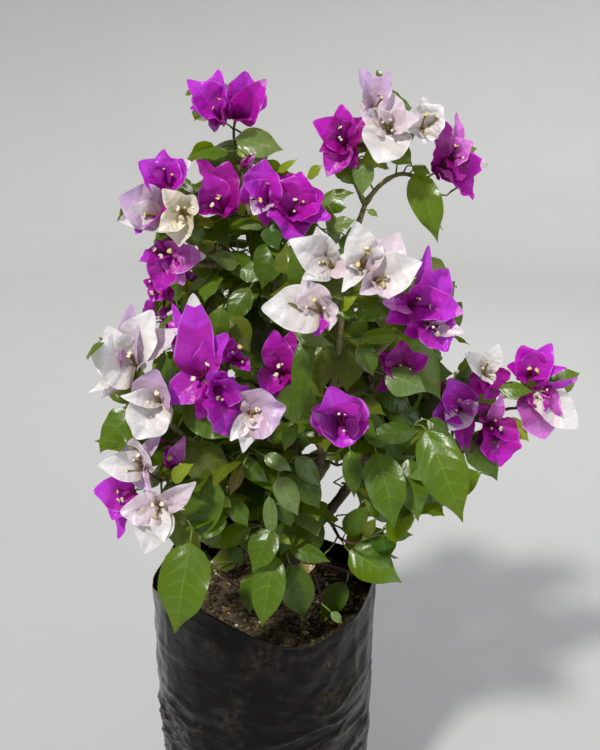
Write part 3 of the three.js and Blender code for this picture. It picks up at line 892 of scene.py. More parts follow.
def blade_points(net, handles, side, width, rng, fold, cup, ruffle, swell, crumple, twist, wavy):
    """Points of a blade along a curve. side is its right-hand direction at the base.
    fold lifts both halves from the midrib, cup curls the edges up, ruffle waves them, swell puffs the blade
    between its veins, crumple dents it, twist turns it along its length, and wavy varies its outline."""
    s, u, far = net.s, net.u, np.abs(net.u)
    spine, way = curve(handles, s), curve_way(handles, s)
    lean = np.radians(twist) * (s - 0.2)[:, None]
    flat = side - way * (way @ side)[:, None]
    flat /= np.maximum(np.linalg.norm(flat, axis=1), 1e-9)[:, None]
    rise = np.cross(way, flat)
    flat, rise = flat * np.cos(lean) + rise * np.sin(lean), rise * np.cos(lean) - flat * np.sin(lean)
    rise_power, fall_power = net.outline[0] * rng.uniform(0.9, 1.1), net.outline[1] * rng.uniform(0.85, 1.2)
    widest, inside = rise_power / (rise_power + fall_power), np.clip(s, 0, 1)
    half = (inside / widest) ** rise_power * ((1 - inside) / (1 - widest)) ** fall_power
    shifts = rng.uniform(0, 2 * np.pi, 2)
    late = np.clip((inside - 0.62) / 0.34, 0, 1)
    half = half * (1 - net.outline[2] * late * late * (3 - 2 * late))
    half = half * (1 + wavy * far**2 * np.sin(9.5 * s + np.where(u > 0, shifts[0], shifts[1])))
    out = half * u * width / 2
    height = fold * np.abs(out) * (1 - 0.5 * s) + cup * out**2 / width
    height += swell * net.swell * far * (1 - far**2) * 2.6 * half
    free = far**2 * np.sqrt(np.sin(np.pi * np.clip(s, 0, 1)))
    starts = rng.uniform(0, 2 * np.pi, 4)
    first, second = np.where(u > 0, starts[0], starts[1]), np.where(u > 0, starts[2], starts[3])
    beat = rng.uniform(1.3, 2.2)
    waves = np.sin(2 * np.pi * beat * s + first) + 0.6 * np.sin(4.6 * np.pi * beat * s + second)
    height += ruffle * free * waves
    for size in (1.0, 0.6, 0.4):
        along = rng.uniform(-1, 1, 2) * 1.6 / size
        over = rng.uniform(-1, 1) * 0.8 / size
        start = rng.uniform(0, 6.3)
        wave = 2 * np.pi * (along[0] * s + over * u * half) + start
        height += crumple * size * (1.6 - 2.5 * np.abs(np.sin(wave / 2))) * np.minimum(1, 4 * s)
    return spine + flat * out[:, None] + rise * height[:, None]


END_TINT_FROM = 0.86


def lay_bract(heap, base, axis, tip, width, tint, roll, rng):
    """One bract from the throat to its tip. It leaves along the bloom's axis and flares outwards."""
    net, (body, _, end_tint) = BRACT_NET, tint.partition("/")
    is_pale = body in PALE_TINTS
    length = np.linalg.norm(tip - base)
    along = (tip - base) / length
    outward = square_to(along, axis)
    side = turned(unit(np.cross(axis, outward)), along, roll + rng.normal(0, 6))
    start = base + outward * 0.8
    arrive = unit(along + 0.4 * outward)
    handles = (start, start + (axis * 0.7 + along * 0.5) * 0.28 * length, tip - arrive * 0.36 * length, tip)
    form = {
        "fold": rng.uniform(0.15, 0.55),
        "cup": rng.uniform(-0.2, 0.9),
        "ruffle": width * rng.uniform(*((0.025, 0.05) if is_pale else (0.035, 0.08))),
        "swell": rng.uniform(0.5, 1.0),
        "crumple": width * 0.036,
        "twist": rng.normal(0, 11),
        "wavy": 0.04 if is_pale else 0.08,
    }
    points = blade_points(net, handles, side, width, rng, **form)
    tints = np.full(len(net.sizes), body, dtype=object)
    # Zones from the throat out to the tip; the dark throat and inner zones also carry painted shade in the
    # cup.
    zones = np.full(len(net.sizes), "_outer", dtype=object)
    for zone, zone_end in reversed(ZONE_ENDS.items()):
        zones[net.face_at + (0.03 * net.vein if zone else 0) < zone_end] = zone
    if end_tint:
        tints[net.face_at > END_TINT_FROM] = end_tint
    # Faces on the veins and midrib take the darker zone nearer the throat: partly the veins' own colour,
    # partly painted shade in the creases.
    creased = (net.vein | net.midrib) & (zones != "_throat")
    zones[creased & (zones == "")] = "_inner"
    zones[creased & (zones == "_outer")] = ""
    # The outermost faces take the lighter edge skin: a painted highlight along the rim.
    zones[net.edge & (net.face_at > 0.2)] = "_edge"
    heap.lay(net, points, (tints + zones).astype(str))


# A flower's rings from its foot to its mouth, as shares of its length, and their radii
OPEN_RINGS = np.array((0, 0.14, 0.36, 0.6, 0.8, 0.94, 1.0, 0.975, 0.97))
OPEN_RADII = np.array((0.4, 0.8, 0.85, 0.5, 0.55, 0.7, 1.7, 0.5, 0.28))
SHUT_RINGS = np.array((0, 0.14, 0.36, 0.6, 0.8, 0.9, 0.96, 1.0, 1.02))
SHUT_RADII = np.array((0.45, 0.95, 1.0, 0.62, 0.72, 0.95, 0.9, 0.6, 0.2))
STAR_EDGE = 6


def frames_along(points):
    """Two side directions for each point of a path, carried along it without twisting."""
    steps = np.gradient(points, axis=0)
    ways = steps / np.maximum(np.linalg.norm(steps, axis=1), 1e-9)[:, None]
    side = square_to(np.array((0.31, 0.87, 0.38)), ways[0])
    sides = []
    for way in ways:
        side = square_to(side, way)
        sides.append(side)
    sides = np.array(sides)
    return sides, np.cross(ways, sides)


def lay_tube(heap, points, radii, sides, tints, relief=None):
    """A round line along a path. relief changes the radius by angle and distance."""
    net = tube_net(sides, len(points) - 1)
    left, up = frames_along(points)
    r = np.asarray(radii)[net.ring]
    if relief is not None:
        r = r + relief(net, points)
    ring = left[net.ring] * np.cos(net.angle)[:, None] + up[net.ring] * np.sin(net.angle)[:, None]
    heap.lay(net, points[net.ring] + ring * r[:, None], tints)


def lay_flower(heap, base, way, length, is_open, tube_tint, star_tint, rng):
    """A thin tube with a swollen foot, and a five-pointed star with a sunken eye if it is open."""
    net = FLOWER_NET
    bend = square_to(rng.normal(0, 1, 3), way) * rng.uniform(0.4, 1.6)
    rings = (OPEN_RINGS if is_open else SHUT_RINGS)[:, None]
    points = base + way * rings * length + bend * np.sin(rings * np.pi * 0.8)
    lift = np.where(net.ring == STAR_EDGE, rng.normal(0, 0.45, len(net.ring)), 0.0)
    left = square_to(rng.normal(0, 1, 3), way)
    up = np.cross(way, left)
    r = (OPEN_RADII if is_open else SHUT_RADII)[net.ring]
    if is_open:
        uneven = rng.uniform(0.82, 1.12, len(net.ring))
        r = r * np.where(net.ring == STAR_EDGE, (1 + 0.5 * np.cos(5 * net.angle)) * uneven, 1)
    ring = left * np.cos(net.angle)[:, None] + up * np.sin(net.angle)[:, None]
    tints = np.full(len(net.sizes), tube_tint, dtype=object)
    if is_open:
        tints[net.band > STAR_EDGE - 0.9] = star_tint
        tints[net.band > STAR_EDGE + 0.9] = "flower_eye"
    else:
        tints[net.band > STAR_EDGE + 0.1] = star_tint
    heap.lay(net, points[net.ring] + ring * r[:, None] + way * lift[:, None] * is_open, tints.astype(str))


def lay_bloom(heap, flowers, bloom, rng):
    """Bracts round a throat, and the three flowers that they carry."""
    base, axis, bracts = bloom["base"], bloom["axis"], bloom["bracts"]
    for bract in bracts:
        lay_bract(heap, base, axis, *bract, rng)
    tube = "flower_tube_green" if bracts[0][2].split("/")[0] in PALE_TINTS else "flower_tube_rose"
    for tip, *_ in bracts[:3]:
        way = unit(axis + 0.42 * square_to(tip - base, axis) + rng.normal(0, 0.12, 3))
        star = "flower_star" if rng.random() < 0.72 else "flower_star_yellow"
        lay_flower(flowers, base, way, rng.uniform(9, 14), rng.random() < 0.62, tube, star, rng)


def lay_leaf(heap, net, leaf, rng):
    """A leaf blade from its stalk to its tip, its upper face towards its normal."""
    base, tip, width, tone = leaf["base"], leaf["tip"], leaf["width"], leaf["tone"]
    chord = tip - base
    length = np.linalg.norm(chord)
    along = chord / length
    face = square_to(leaf["normal"], along)
    arch = length * rng.uniform(0.08, 0.2)
    handles = (base, base + chord * 0.30 + face * arch * 1.1, base + chord * 0.72 + face * arch * 1.0, tip)
    form = {
        "fold": rng.uniform(0.08, 0.36),
        "cup": rng.uniform(-0.6, 0.2),
        "ruffle": width * rng.uniform(0.015, 0.05),
        "swell": 0.03 * width,
        "crumple": width * 0.014,
        "twist": rng.normal(0, 13),
        "wavy": 0.035,
    }
    points = blade_points(net, handles, np.cross(face, along) * -1, width, rng, **form)
    heap.lay(net, points, np.where(net.vein | net.midrib, tone + "_vein", tone))


# Grow the plant: first what the photo shows, nearest to the wood first
def facing(shares):
    return unit(RIGHT * shares[0] + ABOVE * shares[1] + TOWARDS * shares[2])


CUP_DEPTH = 3  # every shown bloom's tips come this much further to the front


def read_blooms():
    """The shown blooms as places in space."""
    for x, y, depth, faces, *bracts in BLOOMS:
        base, axis = sighted((x, y), depth), facing(faces)
        tips = [
            (sighted((x, y), depth - lean - CUP_DEPTH), width, tint, sum(roll))
            for x, y, lean, width, tint, *roll in bracts
        ]
        placed_blooms.append({"base": base, "axis": axis, "bracts": tips, "depth": depth})


def leaf_as(base, tip, normal, width, tone):
    return {"base": base, "tip": tip, "normal": normal, "width": width, "tone": "leaf_" + tone}


def middle_of(leaf):
    return (leaf["base"] + leaf["tip"]) / 2


def read_leaves():
    """The shown leaves as places in space."""
    for base_x, base_y, tip_x, tip_y, depth, lean, width, tone, *roll in LEAVES:
        base, tip = sighted((base_x, base_y), depth), sighted((tip_x, tip_y), depth - lean)
        along = unit(tip - base)
        normal = turned(square_to(TOWARDS * 0.8 + UP * 0.45, along), along, sum(roll))
        placed_leaves.append(leaf_as(base, tip, normal, width, tone))


read_blooms()
read_leaves()

FAR_FROM_WOOD = 20


def join_leaf(leaf, rng):
    """Joins a leaf's base to the wood with a stalk, and with a shoot before it where the wood is far."""
    base = leaf["base"]
    way = unit(leaf["tip"] - base)
    pick, away = best_bud(base)
    if away > FAR_FROM_WOOD:
        heading = unit(way * 0.4 + UP * 0.3 + unit(base - buds["spots"][pick]))
        grow_to(base - way * 7 - leaf["normal"] * 4, heading, "shoot", rng)
    grow_to(base, unit(way + 0.2 * leaf["normal"]), "leaf_stalk", rng)


def grow_shown():
    """Joins every shown bloom and leaf to the wood."""
    rng = dice("shown")
    everything = [("bloom", b) for b in placed_blooms] + [("leaf", leaf) for leaf in placed_leaves]
    everything.sort(key=lambda item: best_bud(item[1]["base"])[1])
    for kind, item in everything:
        if kind == "bloom":
            grow_to(item["base"], item["axis"], "shoot", rng).bears = True
        else:
            join_leaf(item, rng)


grow_shown()
CROWN_MIDDLE = np.array((28.0, 8.0))


def outwards(point):
    """The level direction away from the crown's middle line."""
    return unit(np.array((point[0] - CROWN_MIDDLE[0], point[1] - CROWN_MIDDLE[1], 0.0)))


BLOOM_APART = 21
# Blooms on the sides that the photo doesn't show: how many each mass gets
MORE_BLOOMS = {
    "back_high_spray": 7, "back_left_spray": 7, "back_middle_spray": 8, "back_right_spray": 7,
    "upper_left_spray": 2, "top_middle_spray": 2, "centre_right_spray": 3, "centre_front_spray": 2,
    "right_inner_spray": 2, "right_outer_spray": 2, "left_spray": 3, "left_middle_spray": 2,
    "low_left_spray": 3, "top_right_spray": 2, "back_low_left_leaves": 3, "back_low_right_leaves": 3,
    "right_leaves": 3, "lower_right_leaves": 2, "left_side_leaves": 3,
}
BACK_TINTS = "magenta magenta violet magenta blush violet white deep magenta lilac".split()


def flared_bracts(base, axis, rng):
    """Three bracts of one tint that stand evenly round a throat."""
    tint = picked(rng, BACK_TINTS)
    side = square_to(rng.normal(0, 1, 3), axis)
    bracts = []
    for k in range(3):
        spread = math.radians(rng.uniform(48, 72))
        around = turned(side, axis, 120 * k + rng.normal(0, 9))
        length = rng.uniform(23, 30)
        tip = base + (axis * math.cos(spread) + around * math.sin(spread)) * length
        bracts.append((tip, length * rng.uniform(0.74, 0.88), tint, 0.0))
    return bracts


def grow_more_blooms():
    """Blooms on those sides, just under the skin of their masses, facing out and hidden from the camera."""
    for name, count in MORE_BLOOMS.items():
        rng = dice("more " + name)
        made = 0
        for point in points_in(name, 60, 6, rng):
            deep, normal = depth_in(name, point)
            if made == count or not 6 < deep < 20 or normal @ TOWARDS > 0.25:
                continue
            if any(np.linalg.norm(point - other["base"]) < BLOOM_APART for other in placed_blooms):
                continue
            axis = unit(normal + outwards(point) * 0.4 + UP * 0.45 + rng.normal(0, 0.2, 3))
            bracts = flared_bracts(point, axis, rng)
            spots = [spot for tip, *_ in bracts for spot in between(point, tip, (0.4, 0.8, 1.0))]
            if not all(is_hidden(spot) for spot in spots):
                continue
            placed_blooms.append({"base": point, "axis": axis, "bracts": bracts, "depth": point[1]})
            grow_to(point, axis, "shoot", rng).bears = True
            made += 1


# The crown's middle in the photo, where leaves close it: corners of its outline, as pixels
CLOSED_CROWN = [
    (176, 242), (222, 226), (262, 236), (334, 236), (424, 270), (440, 330), (442, 418), (436, 498),
    (396, 520), (368, 500), (346, 474), (320, 474), (318, 548), (268, 566), (198, 560), (164, 528),
    (158, 440), (154, 380), (166, 312),
]
CELL = 4  # pixels
CELLS_WIDE, CELLS_HIGH = PICTURE_WIDE // CELL, PICTURE_HIGH // CELL
# How far from the camera the nearest blade in each cell is
nearest = np.full((CELLS_HIGH, CELLS_WIDE), np.inf)


def is_closed_at(x, y):
    """Whether a pixel lies in the closed crown's outline and in no window."""
    inside = False
    for (x0, y0), (x1, y1) in zip(CLOSED_CROWN, CLOSED_CROWN[1:] + CLOSED_CROWN[:1]):
        if (y0 > y) != (y1 > y) and x < x0 + (x1 - x0) * (y - y0) / (y1 - y0):
            inside = not inside
    return inside and not any(a < x < c and b < y < d for a, b, c, d in WINDOWS)


def middle_pixel(column, row):
    return (column + 0.5) * CELL, (row + 0.5) * CELL


def nearest_about(row, column):
    """The nearest distances in a cell and in those next to it."""
    return nearest[max(0, row - 1) : row + 2, max(0, column - 1) : column + 2]


def cell_of(point):
    """The grid's row and column where the camera sees a point, and its distance."""
    pixel, away = seen_at(point)
    column, row = (int(v) for v in np.clip(pixel / CELL, 1, (CELLS_WIDE - 2, CELLS_HIGH - 2)))
    return row, column, away


def cover(base, tip, side, width):
    """Marks the cells that a blade hides from the camera."""
    for share in np.linspace(0.08, 0.92, 9):
        half = width / 2 * math.sqrt(math.sin(math.pi * share**0.8)) * 0.9
        for over in np.linspace(-1, 1, 7):
            row, column, away = cell_of(base + (tip - base) * share + side * half * over)
            nearest[row, column] = min(nearest[row, column], away)


def cover_bloom(bloom):
    for tip, width, _, _ in bloom["bracts"]:
        side = unit(np.cross(bloom["axis"], square_to(tip - bloom["base"], bloom["axis"])))
        cover(bloom["base"], tip, side, width)


def cover_leaf(leaf):
    side = unit(np.cross(leaf["normal"], leaf["tip"] - leaf["base"]))
    cover(leaf["base"], leaf["tip"], side, leaf["width"])


for shown in placed_blooms:
    cover_bloom(shown)
for shown in placed_leaves:
    cover_leaf(shown)
# The crown's shape: what the shown blades cover with one cell more all round, and the closed crown
in_shape = np.zeros((CELLS_HIGH, CELLS_WIDE), bool)
for row in range(CELLS_HIGH):
    for column in range(CELLS_WIDE):
        covered = np.isfinite(nearest_about(row, column)).any()
        in_shape[row, column] = covered or is_closed_at(*middle_pixel(column, row))


def stands_out(*points):
    """Whether any of the points would be seen outside the crown's shape."""
    return any(not in_shape[cell_of(point)[:2]] for point in points)


NEARER_BY, HIDDEN_SHARE = 3, 0.75


def is_hidden(point):
    """Whether something nearer hides a point and its surroundings from the camera."""
    row, column, away = cell_of(point)
    return (nearest_about(row, column) < away - NEARER_BY).mean() > HIDDEN_SHARE


SHOOT_SPACE = {"_leaves": 3300.0, "_spray": 6000.0}  # cubic millimetres of mass for one shoot
shoots = []


def grow_shoots():
    """Leafy shoots that fill each mass."""
    for name in LEAF_MASSES + SPRAYS:
        rng = dice("shoots " + name)
        low, high = box_of(name)
        room = float(np.prod(high - low)) * 0.5
        count = max(3, round(room / SHOOT_SPACE["_leaves" if name in LEAF_MASSES else "_spray"]))
        for target in sorted(points_in(name, count, 11, rng), key=lambda p: best_bud(p)[1]):
            heading = unit(outwards(target) * 0.6 + UP * 0.5 + rng.normal(0, 0.45, 3))
            shoots.append((name, grow_to(target, heading, "shoot", rng, 0.09)))


grow_shoots()

FRONT_ENDS = 20  # along Y
front_blooms = [bloom for bloom in placed_blooms if bloom["depth"] < FRONT_ENDS]
throats_seen = all_seen(bloom["base"] for bloom in front_blooms)
bracts_seen = all_seen((tip + bloom["base"]) / 2 for bloom in front_blooms for tip, *_ in bloom["bracts"])
leaves_seen = all_seen(middle_of(leaf) for leaf in placed_leaves)


def hides_something(point):
    """Whether a leaf here would stand before a shown bloom or leaf, or in an open window."""
    pixel, away = seen_at(point)
    if any(left < pixel[0] < right and top < pixel[1] < bottom for left, top, right, bottom in WINDOWS):
        return True
    for known, margin, reach in ((throats_seen, 6, 16), (bracts_seen, 6, 14), (leaves_seen, 4, 12)):
        near = np.hypot(known[:, 0] - pixel[0], known[:, 1] - pixel[1]) < reach
        if np.any(near & (known[:, 2] > away - margin)):
            return True
    return False


def is_in_the_way(base, tip, shares):
    """Whether a leaf hides something at any of these shares of its length."""
    return any(hides_something(spot) for spot in between(base, tip, shares))


def off_bough(way, turn, ahead, aside):
    """The direction in which a stalk leaves its bough, at a turn round it."""
    return unit(way * ahead + turned(square_to(UP + 0.01, way), way, turn) * aside)


def add_stalk(start, leave, heading, base, parent, number, stalk):
    """The stalk of a leaf, from a numbered point of its parent to the leaf's base."""
    handles = (start, start + leave * stalk * 0.4, base - heading * stalk * 0.3, base)
    add_line(Line("leaf_stalk", curve(handles, np.linspace(0, 1, 4)), parent, number))


LEAF_SPACING = (9.0, 14.0)
GOLDEN = 137.5  # degrees from each leaf to the next round a shoot
MIDDLE_OUT, TIP_OUT = 2, 9  # how far a leaf may stand out of its mass
# Leaves deep in a mass may take the dark copy and those near its skin the pale one: painted shade inside the
# crown, painted sheen outside.
TONES_INSIDE = "mid olive bright olive dark mid".split()
TONES_OUTSIDE = "mid bright mid olive cool bright pale".split()
TONES_IN_GAPS = "mid bright olive mid bright dark cool".split()
LEAF_SHAPE = (0.56, 0.68)  # width as a share of length
grown_leaves = []


def grow_leaves():
    """Leaves set in turn round each leafy shoot."""
    for shoot_number, (name, line) in enumerate(shoots):
        rng = dice("leaves %d" % shoot_number)
        turn, at = rng.uniform(0, 360), rng.uniform(5, 9)
        # The tone list depends on how deep the shoot's end lies in its mass: painted shade inside, painted
        # sheen near the skin.
        tone = picked(rng, TONES_OUTSIDE if depth_in(name, line.points[-1])[0] < 12 else TONES_INSIDE)
        lengths = lengths_along(line.points)
        while at < lengths[-1] + 4:
            share = min(at, lengths[-1])
            start = np.array([np.interp(share, lengths, line.points[:, i]) for i in range(3)])
            number = int(np.searchsorted(lengths, share).clip(0, len(lengths) - 1))
            is_last = at > lengths[-1] - 3
            turn += GOLDEN
            at += rng.uniform(*LEAF_SPACING)
            leave = off_bough(line.ways[number], turn, 1.2 if is_last else 0.5, 0.8)
            length = rng.uniform(20, 34) if name in SPRAYS else rng.uniform(26, 44)
            if is_last:
                length *= 0.72
            stalk = rng.uniform(5, 9)
            base = start + leave * stalk
            heading = unit(leave + outwards(start) * 0.35 - UP * rng.uniform(0.0, 0.45))
            tip = base + heading * length
            frontal = 0.3 if base[1] < FRONT_ENDS else 0.0
            normal = unit(UP * 0.75 + outwards(base) * 0.55 + TOWARDS * frontal + rng.normal(0, 0.28, 3))
            if depth_in(name, (base + tip) / 2)[0] < -MIDDLE_OUT or depth_in(name, tip)[0] < -TIP_OUT:
                tip = base + unit(heading + unit(line.points[0] - base) * 0.5 + UP * 0.1) * length * 0.8
                if depth_in(name, tip)[0] < -TIP_OUT:
                    continue
            if is_in_the_way(base, tip, (0.25, 0.55, 0.9)) or stands_out(base, (base + tip) / 2, tip):
                continue
            add_stalk(start, leave, heading, base, line, number, stalk)
            grown_leaves.append(leaf_as(base, tip, normal, length * rng.uniform(*LEAF_SHAPE), tone))
            cover_leaf(grown_leaves[-1])


grow_leaves()

GAP_DEPTHS = np.arange(-44, 56, 6.0)


def leaf_in_gap(middle, depth, rng):
    """A leaf that hangs about a point and faces the camera, or None where it would hide something shown."""
    heading = turned(-ABOVE, TOWARDS, rng.normal(0, 50))
    heading = unit(heading + TOWARDS * rng.uniform(-0.2, 0.45) + outwards(middle) * 0.2)
    length = rng.uniform(24, 40)
    base, tip = middle - heading * length * 0.5, middle + heading * length * 0.5
    if is_in_the_way(base, tip, (0.1, 0.35, 0.6, 0.9)):
        return None
    normal = unit(TOWARDS * 0.7 + UP * 0.5 + outwards(middle) * 0.3 + rng.normal(0, 0.22, 3))
    tone = picked(rng, TONES_IN_GAPS) if depth < 16 else "olive"
    return leaf_as(base, tip, normal, length * rng.uniform(0.58, 0.7), tone)


def fill_gaps():
    """Leaves behind the shown ones, until no gap is left in the closed crown."""
    rng = dice("gaps")
    everywhere = [(x, y) for y in range(CELLS_HIGH) for x in range(CELLS_WIDE)]
    cells = [cell for cell in everywhere if is_closed_at(*middle_pixel(*cell))]
    for _ in range(3):
        rng.shuffle(cells)
        for x, y in cells:
            if np.isfinite(nearest_about(y, x)).sum() > 5:
                continue
            depths = list(GAP_DEPTHS)
            rng.shuffle(depths)
            for depth in depths:
                middle = sighted(middle_pixel(x, y), depth)
                if max(depth_in(name, middle)[0] for name in LEAF_MASSES + SPRAYS) < -7:
                    continue
                leaf = leaf_in_gap(middle, depth, rng)
                if leaf is not None:
                    join_leaf(leaf, rng)
                    grown_leaves.append(leaf)
                    cover_leaf(leaf)
                    break


LOWEST_LEAF = 262  # leaves that grow straight from the wood start above this height


def bough_leaf(start, way, turn, longest, rng):
    """A leaf that stands off the wood: its way out, stalk, heading, base, tip and length."""
    leave = off_bough(way, turn, 0.4, 1)
    stalk, length = rng.uniform(6, 14), rng.uniform(24, longest)
    base = start + leave * stalk
    heading = unit(leave + outwards(start) * 0.3 + UP * rng.uniform(-0.3, 0.4))
    return leave, stalk, heading, base, base + heading * length, length


def keep_bough_leaf(start, leave, stalk, heading, base, tip, length, parent, number, outward, rng):
    """Adds that leaf and its stalk. outward is how much its face turns away from the crown's middle."""
    add_stalk(start, leave, heading, base, parent, number, stalk)
    normal = unit(UP * 0.8 + outwards(base) * outward + rng.normal(0, 0.3, 3))
    tone = picked(rng, TONES_INSIDE)
    grown_leaves.append(leaf_as(base, tip, normal, length * rng.uniform(*LEAF_SHAPE), tone))


def leaf_boughs():
    """Leaves that stand on short stalks all along the leaders and limbs."""
    rng = dice("boughs")
    for line in [n for n in lines if n.kind == "wood"][1:]:
        at, turn = rng.uniform(8, 16), rng.uniform(0, 360)
        lengths = lengths_along(line.points)
        while at < lengths[-1]:
            number = int(np.searchsorted(lengths, at).clip(0, len(lengths) - 1))
            start = line.points[number]
            turn += GOLDEN
            at += rng.uniform(6, 11)
            found = bough_leaf(start, line.ways[number], turn, 40, rng)
            base, tip = found[3:5]
            if start[2] < LOWEST_LEAF or is_in_the_way(base, tip, (0.1, 0.5, 0.9)):
                continue
            if not stands_out(base, (base + tip) / 2, tip):
                keep_bough_leaf(start, *found, line, number, 0.4, rng)
                cover_leaf(grown_leaves[-1])


INSIDE_LEAVES, INSIDE_TRIES = 210, 9000
INSIDE_BACK = 66  # these leaves stay in front of the blooms at the back
LEAF_APART = 11


def fill_inside():
    """Leaves in the crown's depth, hidden from the front, so that it is full from the sides."""
    rng = dice("inside")
    mids = [middle_of(leaf) for leaf in placed_leaves + grown_leaves]
    full = len(mids) + INSIDE_LEAVES
    for _ in range(INSIDE_TRIES):
        if len(mids) == full:
            break
        pick = int(rng.integers(len(buds["spots"])))
        start, way = buds["spots"][pick], buds["ways"][pick]
        found = bough_leaf(start, way, rng.uniform(0, 360), 38, rng)
        base, tip = found[3:5]
        middle = (base + tip) / 2
        if start[2] < LOWEST_LEAF or max(base[1], tip[1]) > INSIDE_BACK:
            continue
        if min(np.linalg.norm(np.array(mids) - middle, axis=1)) < LEAF_APART:
            continue
        if all(is_hidden(point) for point in (base, middle, tip)):
            keep_bough_leaf(start, *found, lines[buds["lines"][pick]], buds["numbers"][pick], 0.5, rng)
            mids.append(middle)


leaf_boughs()
fill_gaps()
grow_more_blooms()
fill_inside()


# Make the pieces
YOUNG_RADIUS = 3.3  # wood that starts thinner than this still has its young bark
BACK_STARTS = 22  # along Y
LEAVES_PART, BLOOMS_PART = 335, 415  # heights between the lower and the upper pieces in front
NODE_SPACING = 17
TWIG_RADIUS, THICKEST_TWIG = 0.52, 1.7
GREEN_LOAD = 4  # a shoot that feeds more than this is an older twig


def ridged(net, points):
    """Ridges that run along the wood, and a swelling at each old node."""
    along = lengths_along(points)[net.ring]
    ridges = []
    for at, turn in zip(along, net.angle):
        place = Vector((math.cos(turn) * 2.4, math.sin(turn) * 2.4, at * 0.16 + points[0][0]))
        ridges.append(noise.fractal(place, 1.0, 2.0, 3))
    nodes = np.abs((along + 5) % NODE_SPACING - NODE_SPACING / 2)
    return 0.32 * np.array(ridges) + 0.45 * np.exp(-((nodes / 1.6) ** 2))


lines = trimmed()


def make_bark():
    heap = Heap()
    for line in lines:
        if line.kind == "wood":
            sides, tint = (18, "bark_old") if line.radii[0] > YOUNG_RADIUS else (12, "bark_young")
            lay_tube(heap, line.points, line.radii, sides, tint, ridged)
    heap.piece("bark_stem_and_boughs", "bark", "stem", *LEADERS, *LIMBS)


def make_shoots():
    """Twigs and leaf stalks. The more a twig feeds, the thicker and browner it is."""
    for line in reversed(lines):
        if line.parent is not None:
            line.parent.load += line.load
    twigs, stalks = Heap(), Heap()
    for line in lines:
        if line.kind == "shoot":
            start = min(TWIG_RADIUS * line.load**0.36, THICKEST_TWIG)
            radii = np.linspace(start, max(0.5, start * 0.55), len(line.points))
            tint = "purple_shoot" if line.load > GREEN_LOAD else "green_shoot"
            lay_tube(twigs, line.points, radii, 6, tint)
        elif line.kind == "leaf_stalk":
            lay_tube(stalks, line.points, np.linspace(0.6, 0.42, len(line.points)), 5, "leaf_stalk")
    twigs.piece("twigs", "bark")
    stalks.piece("leaf_stalks", "leaf")


class Sides:
    """Three pieces of one kind: the back, and the front above and below a height."""

    def __init__(self, height):
        self.height = height
        self.heaps = {side: Heap() for side in ("back", "front_high", "front_low")}

    def heap_at(self, point):
        if point[1] > BACK_STARTS:
            return self.heaps["back"]
        return self.heaps["front_high" if point[2] > self.height else "front_low"]

    def make(self, kind, slot, masses, high):
        """Makes the pieces. Each stands for the masses nearest to it."""
        back = [n for n in masses if n.startswith("back")]
        low = [n for n in masses if n not in back + high]
        for side, nodes in zip(self.heaps, (back, high, low)):
            self.heaps[side].piece(kind + "_" + side, slot, *nodes)


def make_leaves():
    sides = Sides(LEAVES_PART)
    for number, leaf in enumerate(placed_leaves + grown_leaves):
        net = LEAF_NET if number < len(placed_leaves) else SMALL_LEAF_NET
        lay_leaf(sides.heap_at(middle_of(leaf)), net, leaf, dice("blade %d" % number))
    high = [n + "_leaves" for n in ("upper", "centre", "right", "left_side")]
    sides.make("leaves", "leaf", LEAF_MASSES, high)


def make_blooms():
    sides, flowers = Sides(BLOOMS_PART), Heap()
    for number, bloom in enumerate(placed_blooms):
        lay_bloom(sides.heap_at(bloom["base"]), flowers, bloom, dice("bloom %d" % number))
    high = [n for n in SPRAYS if n.startswith(("top", "upper", "centre"))]
    sides.make("bracts", "bloom", SPRAYS, high)
    flowers.piece("flowers", "bloom")


make_bark()
make_shoots()
make_leaves()
make_blooms()


# Worked meshes
def spun(profile, steps, apart):
    """A mesh spun from a profile of radii and heights."""
    mesh = bmesh.new()
    chain = [mesh.verts.new((r, 0, z)) for r, z in profile]
    chain += [mesh.edges.new(pair) for pair in zip(chain, chain[1:])]
    upright = {"axis": (0, 0, 1), "cent": (0, 0, 0)}
    bmesh.ops.spin(mesh, geom=chain, angle=math.tau, steps=steps, use_merge=True, **upright)
    bmesh.ops.remove_doubles(mesh, verts=mesh.verts, dist=apart)
    return mesh


def rounding(radius, bend, first, steps):
    """A quarter turn from level to upright that begins at a radius, as radii and heights."""
    turns = [math.pi / 2 * k / steps for k in range(first, steps + 1)]
    return [(radius + bend * math.sin(turn), bend - bend * math.cos(turn)) for turn in turns]


def finished(mesh, name, finish, scale=MM):
    """The smooth final mesh, in metres."""
    bmesh.ops.recalc_face_normals(mesh, faces=mesh.faces)
    for v in mesh.verts:
        v.co *= scale
    data = bpy.data.meshes.new(name)
    mesh.to_mesh(data)
    mesh.free()
    data.materials.append(finishes[finish])
    data.shade_smooth()
    return data


def bumps(x, y, z):
    """Even noise from about -1 to 1."""
    return noise.noise(Vector((x, y, z)))


def within(value):
    """A value kept from 0 to 1."""
    return max(0.0, min(1.0, value))


# Film bag
LAY_FLAT = 254  # the film's width before it is filled
BAG_RADIUS = LAY_FLAT / math.pi
BAG_FOOT_RADIUS = 78
BAG_HEIGHT = 220
FILM = 0.6  # drawn thicker than the real film, so that its cut edge shows
FOOT_ROUNDING = 9
RIM_PEAK = math.radians(-125)
RIM_LOBE, RIM_TILT, RIM_WAVE_START = 12, 5, 150
WALL_ROWS, INNER_ROWS = 130, 44  # rows of faces up the wall, and down its inside as far as it shows


def rim_rise(angle):
    return RIM_TILT * math.cos(angle - RIM_PEAK) + RIM_LOBE * math.cos(3 * (angle - RIM_PEAK))


def crease(x, y, z):
    """A sharp raised line where the noise crosses zero, from 0 to 1."""
    return max(0.0, 1 - 2.6 * abs(bumps(x, y, z))) ** 2


